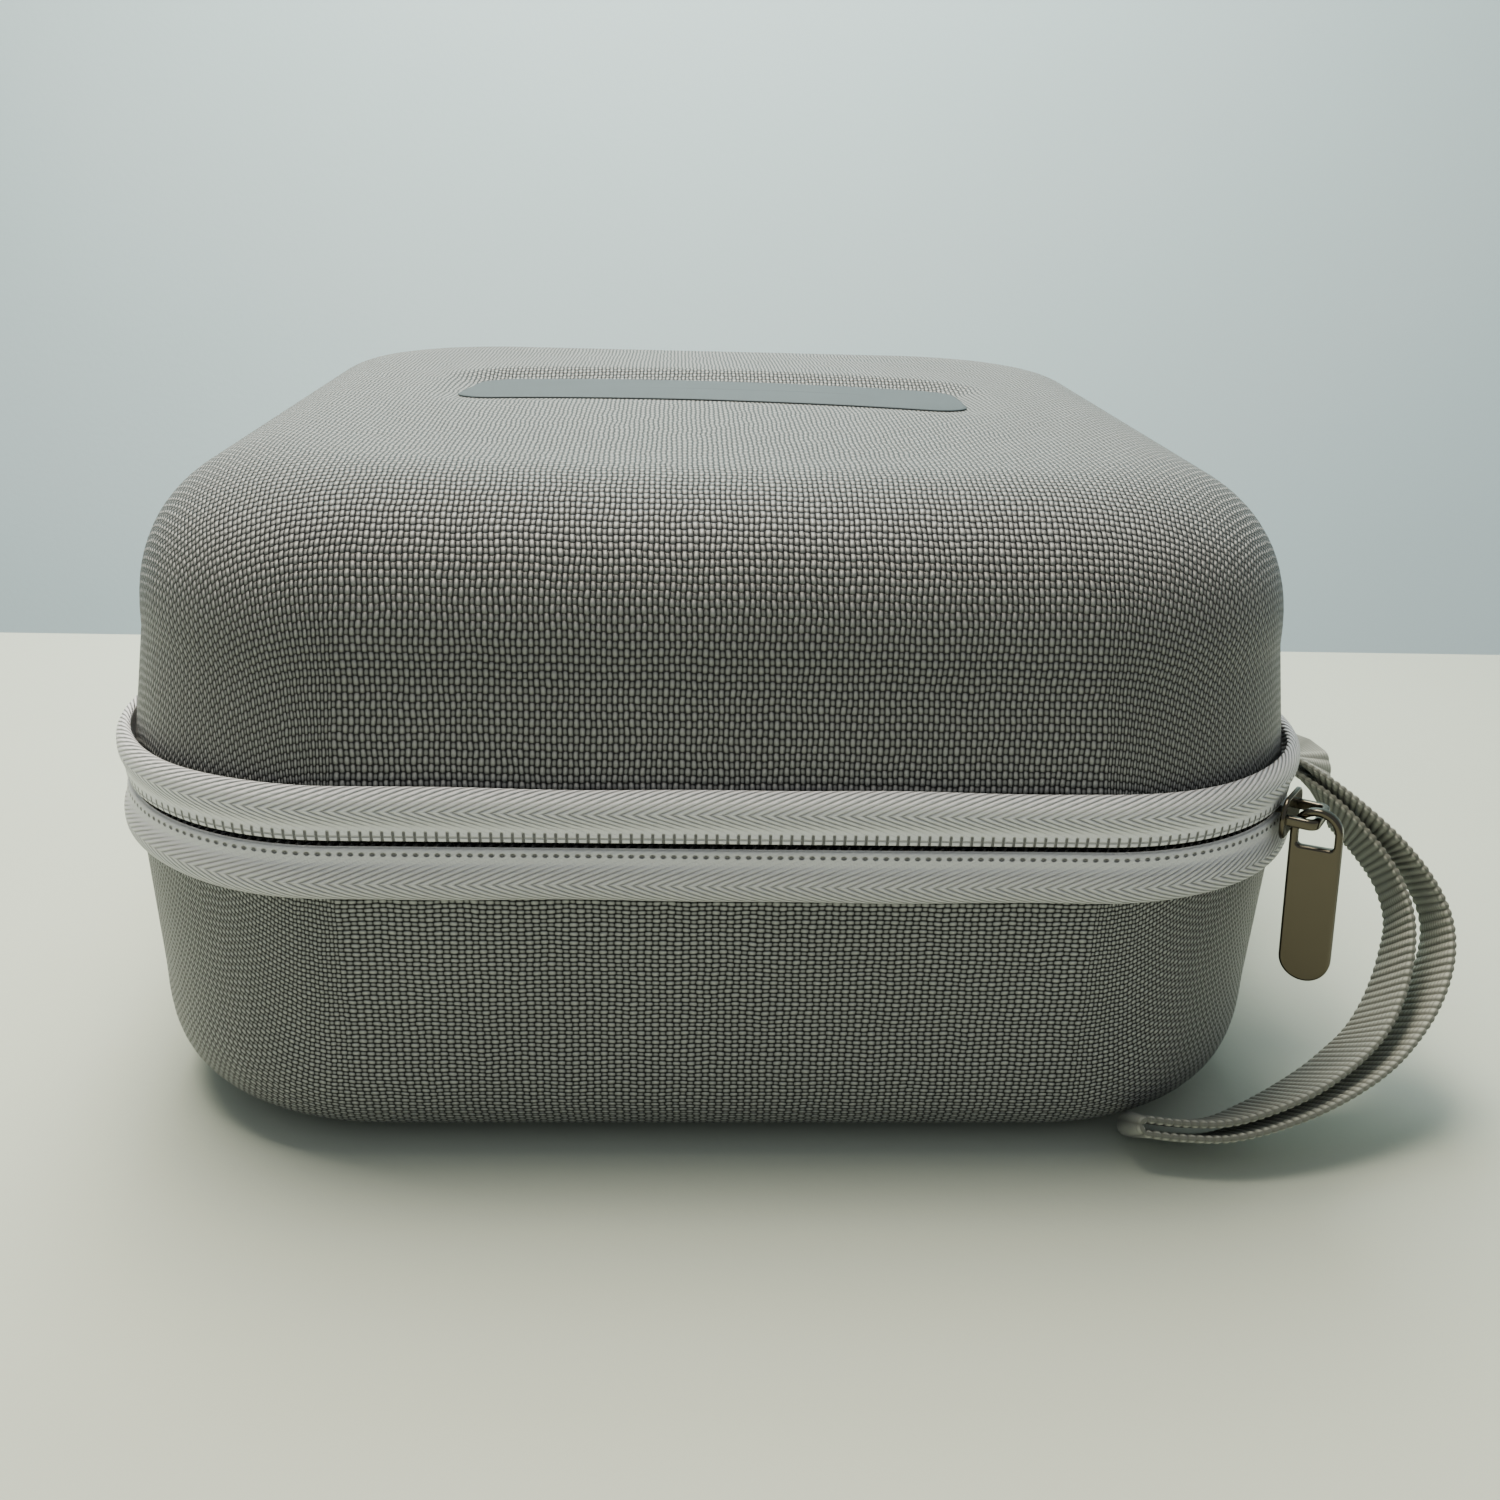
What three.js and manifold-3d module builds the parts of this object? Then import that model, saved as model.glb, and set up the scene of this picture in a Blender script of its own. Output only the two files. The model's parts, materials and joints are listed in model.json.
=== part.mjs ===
// Zipped hard-shell carry case for miniatures: two moulded half shells joined by a cloth hinge at the
// back and a coil zip round the other three sides, with a wrist strap, a slider with its pull, a foam
// tray below and a foam pad in the lid.
// Millimetres, +Z up, front towards -Y. The origin is the centre of the flat bottom face.
import * as THREE from 'three';
import { mergeVertices } from 'three/addons/utils/BufferGeometryUtils.js';
import Module from 'manifold-3d';

// ---------------------------------------------------------------- driving dimensions
const WIDTH = 190;             // shell at the seam, along X
const LENGTH = 200;            // shell at the seam, along Y
const SEAM_Z = 56;             // height of the line where the halves meet
const TOP_Z = 107;             // edge of the lid's domed top
const DOME = 1.8;              // rise of the dome above that edge
const CORNER = 38;             // corner radius seen from above
const CORNER_STEPS = 6;
const WALL = 3.2;              // laminated foam and cloth
const LINING = 0.8;
const GAP = 0.3;               // clearance between pieces that touch

// One half shell: side draft, edge rounding radius and its power (2 is a circle, more is squarer).
const LID = { draft: 0.13, round: 27, power: 2.43, edgeZ: TOP_Z, up: 1, dome: DOME };
const BASE = { draft: 0.044, round: 22, power: 3, edgeZ: 0, up: -1, dome: 0 };
const ROUND_STEPS = 6;

const RIM_GAP = 2.6;           // from the seam to each shell's rim
const TAPE_GAP = 0.6;          // from the seam to each tape's edge
const TAPE_HEIGHT = 8.3;
const TAPE_BULGE = 2;
const COIL = { out: 0, depth: 1.4, gap: 0.6, height: 1.6 };
const PIPING = { out: -6.5, depth: 1.8, gap: 0.5, height: 4 };
const HINGE_HALF = 50.5;       // half the width of the cloth hinge
const ZIP_END_X = 54;          // where the zip stops on the back
const STOP = { length: 2.5, depth: 2.4, height: 1.9 };

const SLIDER_ANGLE = 34 * Math.PI / 180;   // round the near right corner, from +X towards -Y
const SLIDER = {
  length: 11, halfHeight: 3.9, plateIn: 2.2, plateOut: 3,
  innerLength: 10, innerHalfHeight: 2.1, innerOut: -2.1, innerIn: -3.1, post: 0.6, postLength: 3,
};
const BAR = { centre: 7.3, depth: 1.2, height: 1.6, halfLength: 4.6, leg: 1.2 };
const PULL = {
  halfWidth: 4, windowHalf: 2.8, windowTop: 1.1, windowHeight: 5.2, length: 29.5, thickness: 1.6, along: 2.2,
};

const STRAP_WIDTH = 13;
const STRAP_THICKNESS = 1.4;
const STRAP_STEPS = 30;
const ANCHOR = { x: 98.7, depth: 1.4, y: -47.5, width: 16, bottom: 49.5, top: 55.4 };

const BADGE = { y: 3, halfX: 49, halfY: 19, round: 9, floorZ: 106.4, thickness: 0.8, margin: 0.8 };
const TRAY = { halfX: 86, halfY: 91, round: 33, bottom: 11.3, top: 49 };
const POCKET = { columns: 4, rows: 3, pitchX: 40, pitchY: 56, halfX: 16, halfY: 23, round: 5 };
const FLOOR_PAD = { halfX: 80.5, halfY: 85.5, round: 31, bottom: 5.7, top: 11 };
const LID_PAD = { halfX: 63, halfY: 68, round: 20, bottom: 86, top: 102.3 };
const TAB = { x: 81.5, halfX: 4, halfY: 7, thickness: 0.9 };

// ---------------------------------------------------------------- finishes
const finish = (color, roughness, metalness = 0) => ({ color, roughness, metalness });
const FINISH = {
  shell: finish(0x84847b, 0.75),
  lining: finish(0x6f716c, 0.9),
  tape: finish(0xb9b9b8, 0.7),
  coil: finish(0x6b6b68, 0.45),
  webbing: finish(0x83857a, 0.85),
  metal: finish(0x8c877c, 0.3, 1),
  foam: finish(0x4a4c4e, 0.95),
  badge: finish(0x9fa8a8, 0.6),
};

const group = new THREE.Group();
group.name = 'miniature_carry_case';

const wasm = await Module();
wasm.setup();

/** Turns a geometry inside out if its faces point inwards. */
function outward(geometry) {
  const position = geometry.getAttribute('position');
  const index = geometry.getIndex();
  const a = new THREE.Vector3();
  const b = new THREE.Vector3();
  const c = new THREE.Vector3();
  let volume = 0;
  for (let i = 0; i < index.count; i += 3) {
    a.fromBufferAttribute(position, index.getX(i));
    b.fromBufferAttribute(position, index.getX(i + 1));
    c.fromBufferAttribute(position, index.getX(i + 2));
    volume += a.dot(b.cross(c));
  }
  if (volume < 0) {
    geometry.setIndex([...index.array].reverse());
  }
  return geometry;
}

/** Adds one named piece with its own material. */
function piece(name, geometry, look) {
  const flat = geometry.getIndex() ? geometry : mergeVertices(bare(geometry));
  const mesh = new THREE.Mesh(outward(flat), new THREE.MeshStandardMaterial(look));
  mesh.name = name;
  group.add(mesh);
  return mesh;
}

/** A geometry with nothing but its positions. */
function bare(geometry) {
  geometry.deleteAttribute('normal');
  geometry.deleteAttribute('uv');
  return geometry;
}

function toSolid(geometry) {
  const merged = mergeVertices(bare(geometry), 1e-4);
  return new wasm.Manifold(new wasm.Mesh({
    numProp: 3,
    vertProperties: Float32Array.from(merged.getAttribute('position').array),
    triVerts: Uint32Array.from(merged.getIndex().array),
  }));
}

function fromSolid(solid) {
  const mesh = solid.getMesh();
  const geometry = new THREE.BufferGeometry();
  geometry.setAttribute('position', new THREE.Float32BufferAttribute(mesh.vertProperties, 3));
  geometry.setIndex([...mesh.triVerts]);
  return geometry;
}

// ---------------------------------------------------------------- outlines and surfaces
/** Points of a rounded rectangle at height z, anticlockwise from the +X side. */
function ring(halfX, halfY, round, z) {
  const points = [];
  for (let quarter = 0; quarter < 4; quarter += 1) {
    const sideX = quarter === 0 || quarter === 3 ? 1 : -1;
    const sideY = quarter < 2 ? 1 : -1;
    for (let step = 0; step <= CORNER_STEPS; step += 1) {
      const angle = (quarter + step / CORNER_STEPS) * Math.PI / 2;
      const x = sideX * (halfX - round) + round * Math.cos(angle);
      const y = sideY * (halfY - round) + round * Math.sin(angle);
      points.push(new THREE.Vector3(x, y, z));
    }
  }
  return points;
}

/** The shell's outline drawn in by an inset; its corners tighten half as fast. */
function shellRing(inset, z) {
  return ring(WIDTH / 2 - inset, LENGTH / 2 - inset, CORNER - inset / 2, z);
}

/** Rings of a half shell's surface, `depth` under its outer face, from the rim to the flat. */
function halfRings(half, depth) {
  const straightEnd = half.edgeZ - half.up * half.round;
  const straightInset = half.draft * Math.abs(straightEnd - SEAM_Z);
  const rings = [shellRing(half.draft * RIM_GAP + depth, SEAM_Z + half.up * RIM_GAP)];
  rings.push(shellRing(straightInset + depth, straightEnd));
  const radius = half.round - depth;
  for (let step = 1; step <= ROUND_STEPS; step += 1) {
    const angle = step / ROUND_STEPS * Math.PI / 2;
    const across = Math.pow(Math.max(Math.cos(angle), 0), 2 / half.power);
    const along = Math.pow(Math.sin(angle), 2 / half.power);
    const inset = straightInset + depth + radius * (1 - (step === ROUND_STEPS ? 0 : across));
    rings.push(shellRing(inset, straightEnd + half.up * radius * along));
  }
  if (half.dome > 0) {
    rings.push(shellRing(60, half.edgeZ - half.up * depth + half.dome * 0.75));
  }
  return rings;
}

/** Lofts a row of equal rings into a closed skin with a fan at both ends. */
function loft(rings, firstCentre, lastCentre) {
  const count = rings[0].length;
  const points = [...rings.flat(), firstCentre, lastCentre];
  const first = points.length - 2;
  const last = points.length - 1;
  const end = (rings.length - 1) * count;
  const faces = [];
  for (let i = 0; i < count; i += 1) {
    const next = (i + 1) % count;
    faces.push(first, next, i);
    faces.push(last, end + i, end + next);
    for (let row = 0; row < rings.length - 1; row += 1) {
      const low = row * count;
      const high = low + count;
      faces.push(low + i, low + next, high + next);
      faces.push(low + i, high + next, high + i);
    }
  }
  return meshOf(points, faces);
}

/** Sweeps one closed section, given at each station, into a solid; a loop joins its ends. */
function sweep(sections, isLoop) {
  const count = sections[0].length;
  const points = sections.flat();
  const faces = [];
  const spans = isLoop ? sections.length : sections.length - 1;
  for (let row = 0; row < spans; row += 1) {
    const low = row * count;
    const high = ((row + 1) % sections.length) * count;
    for (let i = 0; i < count; i += 1) {
      const next = (i + 1) % count;
      faces.push(low + i, low + next, high + next);
      faces.push(low + i, high + next, high + i);
    }
  }
  if (!isLoop) {
    const end = (sections.length - 1) * count;
    for (let i = 1; i < count - 1; i += 1) {
      faces.push(0, i + 1, i);
      faces.push(end, end + i, end + i + 1);
    }
  }
  return meshOf(points, faces);
}

function meshOf(points, faces) {
  const geometry = new THREE.BufferGeometry();
  geometry.setAttribute('position', new THREE.Float32BufferAttribute(points.flatMap((p) => p.toArray()), 3));
  geometry.setIndex(faces);
  return geometry;
}

/** An upright slab: a rounded rectangle between two heights, with optional rounded holes. */
function slab(size, holes = []) {
  const toShape = (outline) => outline.map((p) => new THREE.Vector2(p.x, p.y));
  const shape = new THREE.Shape(toShape(ring(size.halfX, size.halfY, size.round, 0)));
  shape.holes = holes.map((outline) => new THREE.Path(toShape(outline)));
  const geometry = new THREE.ExtrudeGeometry(shape, { depth: size.top - size.bottom, bevelEnabled: false });
  return geometry.translate(0, 0, size.bottom);
}

// ---------------------------------------------------------------- half shells and linings
/** A bowl between two depths under a half shell's outer face. */
function bowl(half, outerDepth, innerDepth) {
  const outer = halfRings(half, outerDepth).reverse();
  const inner = halfRings(half, innerDepth);
  const centre = (depth) => new THREE.Vector3(0, 0, half.edgeZ + half.up * (half.dome - depth));
  return loft([...outer, ...inner], centre(outerDepth), centre(innerDepth));
}

const badgeCut = slab({
  halfX: BADGE.halfX, halfY: BADGE.halfY, round: BADGE.round, bottom: BADGE.floorZ, top: TOP_Z + 10,
}).translate(0, BADGE.y, 0);
const lidBody = toSolid(outward(bowl(LID, 0, WALL)));
piece('lid_shell', fromSolid(lidBody.subtract(toSolid(badgeCut))), FINISH.shell);
piece('lid_lining', bowl(LID, WALL + GAP, WALL + GAP + LINING), FINISH.lining);
piece('base_shell', bowl(BASE, 0, WALL), FINISH.shell);
piece('base_lining', bowl(BASE, WALL + GAP, WALL + GAP + LINING), FINISH.lining);

const badge = slab({
  halfX: BADGE.halfX - BADGE.margin, halfY: BADGE.halfY - BADGE.margin, round: BADGE.round - BADGE.margin,
  bottom: BADGE.floorZ + GAP, top: BADGE.floorZ + GAP + BADGE.thickness,
});
piece('lid_badge', badge.translate(0, BADGE.y, 0), FINISH.badge);

// ---------------------------------------------------------------- seam: tapes, coils, piping, hinge
/** A place on the shell's outline at the seam, with the direction that points out of it. */
function station(x, y, angle) {
  const out = new THREE.Vector3(Math.cos(angle), Math.sin(angle), 0);
  return { point: new THREE.Vector3(x, y, SEAM_Z), out };
}

/** Stations all the way round, from the back's left end by the front to the back's right end. */
function zipStations() {
  const stations = [station(-ZIP_END_X, LENGTH / 2, Math.PI / 2)];
  for (let quarter = 1; quarter <= 4; quarter += 1) {
    const sideX = quarter === 1 || quarter === 2 ? -1 : 1;
    const sideY = quarter === 1 || quarter === 4 ? 1 : -1;
    for (let step = 0; step <= CORNER_STEPS; step += 1) {
      const angle = (quarter + step / CORNER_STEPS) * Math.PI / 2;
      const x = sideX * (WIDTH / 2 - CORNER) + CORNER * Math.cos(angle);
      const y = sideY * (LENGTH / 2 - CORNER) + CORNER * Math.sin(angle);
      stations.push(station(x, y, angle));
    }
  }
  stations.push(station(ZIP_END_X, LENGTH / 2, Math.PI / 2));
  return stations;
}

/** Places a section, given as [outwards, height from the seam] pairs, at each station. */
function band(stations, section, up, isLoop = false) {
  const place = ({ point, out }) => section.map(([reach, rise]) => (
    point.clone().addScaledVector(out, reach).add(new THREE.Vector3(0, 0, up * rise))
  ));
  return sweep(stations.map(place), isLoop);
}

/** Section of a tape: flat against the shell, with a soft bulge outwards. */
const TAPE_SECTION = [
  [GAP, TAPE_GAP], [0.5 * TAPE_BULGE, TAPE_GAP], [0.75 * TAPE_BULGE, TAPE_GAP + 0.17 * TAPE_HEIGHT],
  [TAPE_BULGE, TAPE_GAP + 0.5 * TAPE_HEIGHT], [0.9 * TAPE_BULGE, TAPE_GAP + 0.78 * TAPE_HEIGHT],
  [0.5 * TAPE_BULGE, TAPE_GAP + 0.95 * TAPE_HEIGHT], [GAP, TAPE_GAP + TAPE_HEIGHT],
];

/** Section of a rectangular strip. */
function stripSection({ out, depth, gap, height }) {
  return [[out - depth, gap], [out, gap], [out, gap + height], [out - depth, gap + height]];
}

const zipPath = zipStations();
const loopPath = zipPath.slice(1, -1);
const hingePath = [-HINGE_HALF, HINGE_HALF].map((x) => station(x, LENGTH / 2, Math.PI / 2));
for (const [half, up] of [['upper', 1], ['lower', -1]]) {
  const side = up > 0 ? 'lid' : 'base';
  piece(`${half}_zip_tape`, band(zipPath, TAPE_SECTION, up), FINISH.tape);
  piece(`${half}_zip_coil`, band(zipPath, stripSection(COIL), up), FINISH.coil);
  piece(`${side}_rim_piping`, band(loopPath, stripSection(PIPING), up, true), FINISH.lining);
  piece(`${side}_hinge_cloth`, band(hingePath, TAPE_SECTION, up), FINISH.shell);
}

for (const [name, side] of [['zip_stop_left', -1], ['zip_stop_right', 1]]) {
  const stop = new THREE.BoxGeometry(STOP.length, STOP.depth, STOP.height);
  const x = side * (ZIP_END_X - GAP - STOP.length / 2);
  piece(name, stop.translate(x, LENGTH / 2 - 0.2, SEAM_Z - GAP - STOP.height / 2), FINISH.metal);
}

// ---------------------------------------------------------------- slider, bridge and pull
const sliderOut = new THREE.Vector3(Math.cos(SLIDER_ANGLE), -Math.sin(SLIDER_ANGLE), 0);
const sliderUp = new THREE.Vector3(0, 0, 1);
const sliderAlong = new THREE.Vector3().crossVectors(sliderOut, sliderUp);
const sliderPlace = new THREE.Matrix4().makeBasis(sliderOut, sliderUp, sliderAlong).setPosition(
  WIDTH / 2 - CORNER + CORNER * sliderOut.x,
  -(LENGTH / 2 - CORNER) + CORNER * sliderOut.y,
  SEAM_Z,
);

/** A block in the slider's own frame: out of the case, up, and along the zip. */
function sliderBlock(fromOut, toOut, halfUp, halfAlong) {
  const block = new THREE.BoxGeometry(toOut - fromOut, 2 * halfUp, 2 * halfAlong);
  return block.translate((fromOut + toOut) / 2, 0, 0);
}

const outerPlate = sliderBlock(SLIDER.plateIn, SLIDER.plateOut, SLIDER.halfHeight, SLIDER.length / 2);
const { innerIn, innerOut, innerHalfHeight, innerLength } = SLIDER;
const innerPlate = sliderBlock(innerIn, innerOut, innerHalfHeight, innerLength / 2);
const post = sliderBlock(innerOut - 0.1, SLIDER.plateIn + 0.1, SLIDER.post / 2, SLIDER.postLength / 2);
const sliderBody = fromSolid(toSolid(outerPlate).add(toSolid(innerPlate)).add(toSolid(post)));
piece('zip_slider', sliderBody.applyMatrix4(sliderPlace), FINISH.metal);

/** The arch over the slider, drawn outwards (x) and along the zip (y), then raised to its height. */
function bridgeGeometry() {
  const foot = SLIDER.plateOut + GAP;
  const under = BAR.centre - BAR.depth / 2;
  const over = BAR.centre + BAR.depth / 2;
  const shape = new THREE.Shape();
  shape.moveTo(foot, -BAR.halfLength);
  shape.lineTo(over - 1, -BAR.halfLength);
  shape.lineTo(over, -BAR.halfLength + 1);
  shape.lineTo(over, BAR.halfLength - 1);
  shape.lineTo(over - 1, BAR.halfLength);
  shape.lineTo(foot, BAR.halfLength);
  shape.lineTo(foot, BAR.halfLength - BAR.leg);
  shape.lineTo(under, BAR.halfLength - BAR.leg);
  shape.lineTo(under, -BAR.halfLength + BAR.leg);
  shape.lineTo(foot, -BAR.halfLength + BAR.leg);
  const geometry = new THREE.ExtrudeGeometry(shape, { depth: BAR.height, bevelEnabled: false });
  return geometry.translate(0, 0, -BAR.height / 2).rotateX(Math.PI / 2);
}
piece('slider_bridge', bridgeGeometry().applyMatrix4(sliderPlace), FINISH.metal);

/** The pull: a round-ended plate with a D-shaped window, hung with its window round the bar. */
function pullGeometry() {
  const rim = PULL.halfWidth - PULL.windowHalf;
  const top = PULL.windowTop + rim;
  const shape = new THREE.Shape();
  shape.absarc(0, top - PULL.halfWidth, PULL.halfWidth, 0, Math.PI, false);
  shape.absarc(0, top - PULL.length + PULL.halfWidth, PULL.halfWidth, Math.PI, 2 * Math.PI, false);
  const window = new THREE.Path();
  const windowBottom = PULL.windowTop - PULL.windowHeight;
  window.moveTo(-PULL.windowHalf, windowBottom);
  window.lineTo(PULL.windowHalf, windowBottom);
  window.absarc(0, PULL.windowTop - PULL.windowHalf, PULL.windowHalf, 0, Math.PI, false);
  shape.holes = [window];
  const geometry = new THREE.ExtrudeGeometry(shape, {
    depth: PULL.thickness, bevelEnabled: false, curveSegments: 10,
  });
  return geometry.translate(BAR.centre, 0, PULL.along - PULL.thickness / 2);
}
piece('zip_pull', pullGeometry().applyMatrix4(sliderPlace), FINISH.metal);

// ---------------------------------------------------------------- wrist strap
// One strip of webbing folded double. Both strands leave the case's right side together, bow out and
// down, and meet again at the fold, whose far edge rests on the table by the case's near right foot.
// Each row: a point on the near edge, and the way across the webbing from there.
const ACROSS = [
  [0, 1, 0], [0.03, 0.94, -0.33], [0.06, 0.88, -0.47], [0.08, 0.86, -0.5], [0.08, 0.87, -0.48],
  [0.07, 0.9, -0.42], [0.05, 0.93, -0.36], [0.02, 0.94, -0.34], [0, 0.935, -0.35], [-0.02, 0.93, -0.37],
  [-0.03, 0.915, -0.4], [-0.04, 0.9, -0.43], [-0.03, 0.875, -0.48], [-0.01, 0.845, -0.53],
  [0, 0.84, -0.54], [0, 0.85, -0.53],
];
const OUTER_EDGE = [
  [101.2, -55, 54.2], [104.2, -59, 53.6], [107.8, -63.5, 51.9], [111.8, -68, 49.2], [116.4, -72, 45.3],
  [120.6, -75.2, 40.4], [123.3, -78.5, 35], [123.4, -82, 29.9], [121.1, -86, 24.6], [116.6, -90.2, 19.4],
  [109.6, -95, 15], [100.1, -99.5, 11.7], [90.5, -102.5, 9.4], [81.7, -103.8, 7.9], [74.5, -103.4, 7.7],
  [68.6, -102.4, 7.8],
];
const INNER_EDGE = [
  [101.2, -55, 52], [103.7, -58.7, 51.3], [106.6, -62.7, 50], [110.2, -67, 47.1], [113.7, -70.7, 43.2],
  [116.4, -74.2, 38.7], [117.5, -78, 33.8], [116.6, -82, 28.5], [113.9, -86.5, 23.3], [109.6, -91, 19],
  [103.6, -95, 15.7], [96.2, -98.9, 13.2], [88.6, -101.4, 11.3], [81.2, -102.6, 9.9], [74.4, -102.2, 9.6],
  [68.6, -101.2, 9.7],
];
const FOLD_STEPS = 4;

const toCurve = (rows) => new THREE.CatmullRomCurve3(rows.map((row) => new THREE.Vector3(...row)));

/** Rectangular webbing sections along the whole strip: out, round the fold and back. */
function strapSections() {
  const across = toCurve(ACROSS);
  const outer = toCurve(OUTER_EDGE);
  const inner = toCurve(INNER_EDGE);
  const stops = [];
  for (let step = 0; step <= STRAP_STEPS; step += 1) {
    const t = step / STRAP_STEPS;
    stops.push({ edge: outer.getPoint(t), way: outer.getTangent(t), across: across.getPoint(t) });
  }
  const tip = stops.at(-1);
  const half = inner.getPoint(1).sub(tip.edge).divideScalar(2);
  const ahead = tip.way.clone().setLength(half.length());
  for (let step = 1; step < FOLD_STEPS; step += 1) {
    const angle = step / FOLD_STEPS * Math.PI;
    const edge = tip.edge.clone().addScaledVector(half, 1 - Math.cos(angle));
    edge.addScaledVector(ahead, Math.sin(angle));
    const way = half.clone().multiplyScalar(Math.sin(angle)).addScaledVector(ahead, Math.cos(angle));
    stops.push({ edge, way, across: across.getPoint(1) });
  }
  for (let step = STRAP_STEPS; step >= 0; step -= 1) {
    const t = step / STRAP_STEPS;
    stops.push({ edge: inner.getPoint(t), way: inner.getTangent(t).negate(), across: across.getPoint(t) });
  }
  return stops.map((stop) => {
    const wide = stop.across.normalize().multiplyScalar(STRAP_WIDTH);
    const half = new THREE.Vector3().crossVectors(stop.way, wide).setLength(STRAP_THICKNESS / 2);
    const far = stop.edge.clone().add(wide);
    return [stop.edge.clone().sub(half), far.clone().sub(half), far.add(half), stop.edge.clone().add(half)];
  });
}
piece('wrist_strap', sweep(strapSections(), false), FINISH.webbing);

const anchor = new THREE.BoxGeometry(ANCHOR.depth, ANCHOR.width, ANCHOR.top - ANCHOR.bottom);
anchor.translate(ANCHOR.x + ANCHOR.depth / 2, ANCHOR.y, (ANCHOR.top + ANCHOR.bottom) / 2);
piece('strap_anchor', anchor, FINISH.webbing);

// ---------------------------------------------------------------- foam inside
const pockets = [];
for (let row = 0; row < POCKET.rows; row += 1) {
  for (let column = 0; column < POCKET.columns; column += 1) {
    const x = (column - (POCKET.columns - 1) / 2) * POCKET.pitchX;
    const y = (row - (POCKET.rows - 1) / 2) * POCKET.pitchY;
    const outline = ring(POCKET.halfX, POCKET.halfY, POCKET.round, 0);
    pockets.push(outline.map((p) => p.add(new THREE.Vector3(x, y, 0))));
  }
}
piece('foam_tray', slab(TRAY, pockets), FINISH.foam);
piece('floor_pad', slab(FLOOR_PAD), FINISH.foam);
piece('lid_pad', slab(LID_PAD), FINISH.foam);

for (const [name, side] of [['tray_tab_left', -1], ['tray_tab_right', 1]]) {
  const tab = new THREE.BoxGeometry(2 * TAB.halfX, 2 * TAB.halfY, TAB.thickness);
  piece(name, tab.translate(side * TAB.x, 0, TRAY.top + GAP + TAB.thickness / 2), FINISH.webbing);
}

export default group;
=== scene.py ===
"""Looks of the zipped miniature case: woven half shells, zip, wrist strap and the foam inside.

Lengths in this file are millimetres until a mesh is made; MM turns them into the frame's metres.
"""

import json
import logging
import math
from dataclasses import dataclass, field
from enum import Enum

import bpy
import numpy as np
from mathutils import Matrix, Quaternion, Vector


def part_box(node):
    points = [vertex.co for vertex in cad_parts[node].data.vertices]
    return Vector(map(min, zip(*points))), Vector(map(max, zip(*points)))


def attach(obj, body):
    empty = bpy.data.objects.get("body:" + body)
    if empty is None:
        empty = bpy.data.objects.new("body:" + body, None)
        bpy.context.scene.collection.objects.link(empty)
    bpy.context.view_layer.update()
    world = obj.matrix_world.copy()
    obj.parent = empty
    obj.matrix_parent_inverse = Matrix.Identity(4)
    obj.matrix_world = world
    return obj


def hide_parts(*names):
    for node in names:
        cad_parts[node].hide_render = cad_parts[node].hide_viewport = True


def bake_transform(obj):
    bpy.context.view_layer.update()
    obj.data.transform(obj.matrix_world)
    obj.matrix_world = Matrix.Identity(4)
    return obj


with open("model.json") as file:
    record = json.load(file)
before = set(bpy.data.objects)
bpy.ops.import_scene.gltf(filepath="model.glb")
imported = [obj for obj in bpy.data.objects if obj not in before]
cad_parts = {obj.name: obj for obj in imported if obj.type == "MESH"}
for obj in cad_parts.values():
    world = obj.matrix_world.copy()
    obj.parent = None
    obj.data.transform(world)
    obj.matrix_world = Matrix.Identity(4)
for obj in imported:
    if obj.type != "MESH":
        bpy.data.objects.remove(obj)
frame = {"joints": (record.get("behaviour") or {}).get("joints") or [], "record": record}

MM = 0.001
CLOTH_MAP = "cloth_mm"
LINING_GAP = 0.3
LINING_THICKNESS = 0.8
log = logging.getLogger("miniature_case")
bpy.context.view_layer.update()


# ------------------------------------------------------------------ measures taken from the frame
def box_mm(node: str) -> tuple[np.ndarray, np.ndarray]:
    """A CAD node's corners at rest.

    Args:
        node: The node's name.

    Returns:
        Its lowest and highest corner, in millimetres.
    """
    low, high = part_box(node)
    return np.array(low) / MM, np.array(high) / MM


def joint_named(name: str) -> dict:
    """The frame's joint of that name."""
    return next(joint for joint in frame["joints"] if joint["name"] == name)


@dataclass
class CaseMeasures:
    """The sizes that every sub-assembly shares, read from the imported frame."""

    half_width: float = 0.0
    half_length: float = 0.0
    seam: float = 0.0
    corner: float = 38.0
    tape_reach: float = 2.0

    def __post_init__(self) -> None:
        """Reads the rim from the lower coil, which runs along it, and the seam from between the tapes."""
        low, high = box_mm("lower_zip_coil")
        self.half_width = (high[0] - low[0]) / 2
        self.half_length = (high[1] - low[1]) / 2
        self.seam = (box_mm("upper_zip_tape")[0][2] + box_mm("lower_zip_tape")[1][2]) / 2


# ------------------------------------------------------------------ colours and shader trees
def linear(code: str) -> tuple[float, float, float, float]:
    """Turns an sRGB hex code into a linear colour.

    Args:
        code: Six hex digits.

    Returns:
        Red, green, blue and an alpha of 1.
    """
    parts = [int(code[i:i + 2], 16) / 255 for i in (0, 2, 4)]
    values = [p / 12.92 if p <= 0.04045 else ((p + 0.055) / 1.055) ** 2.4 for p in parts]
    return (*values, 1.0)


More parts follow.
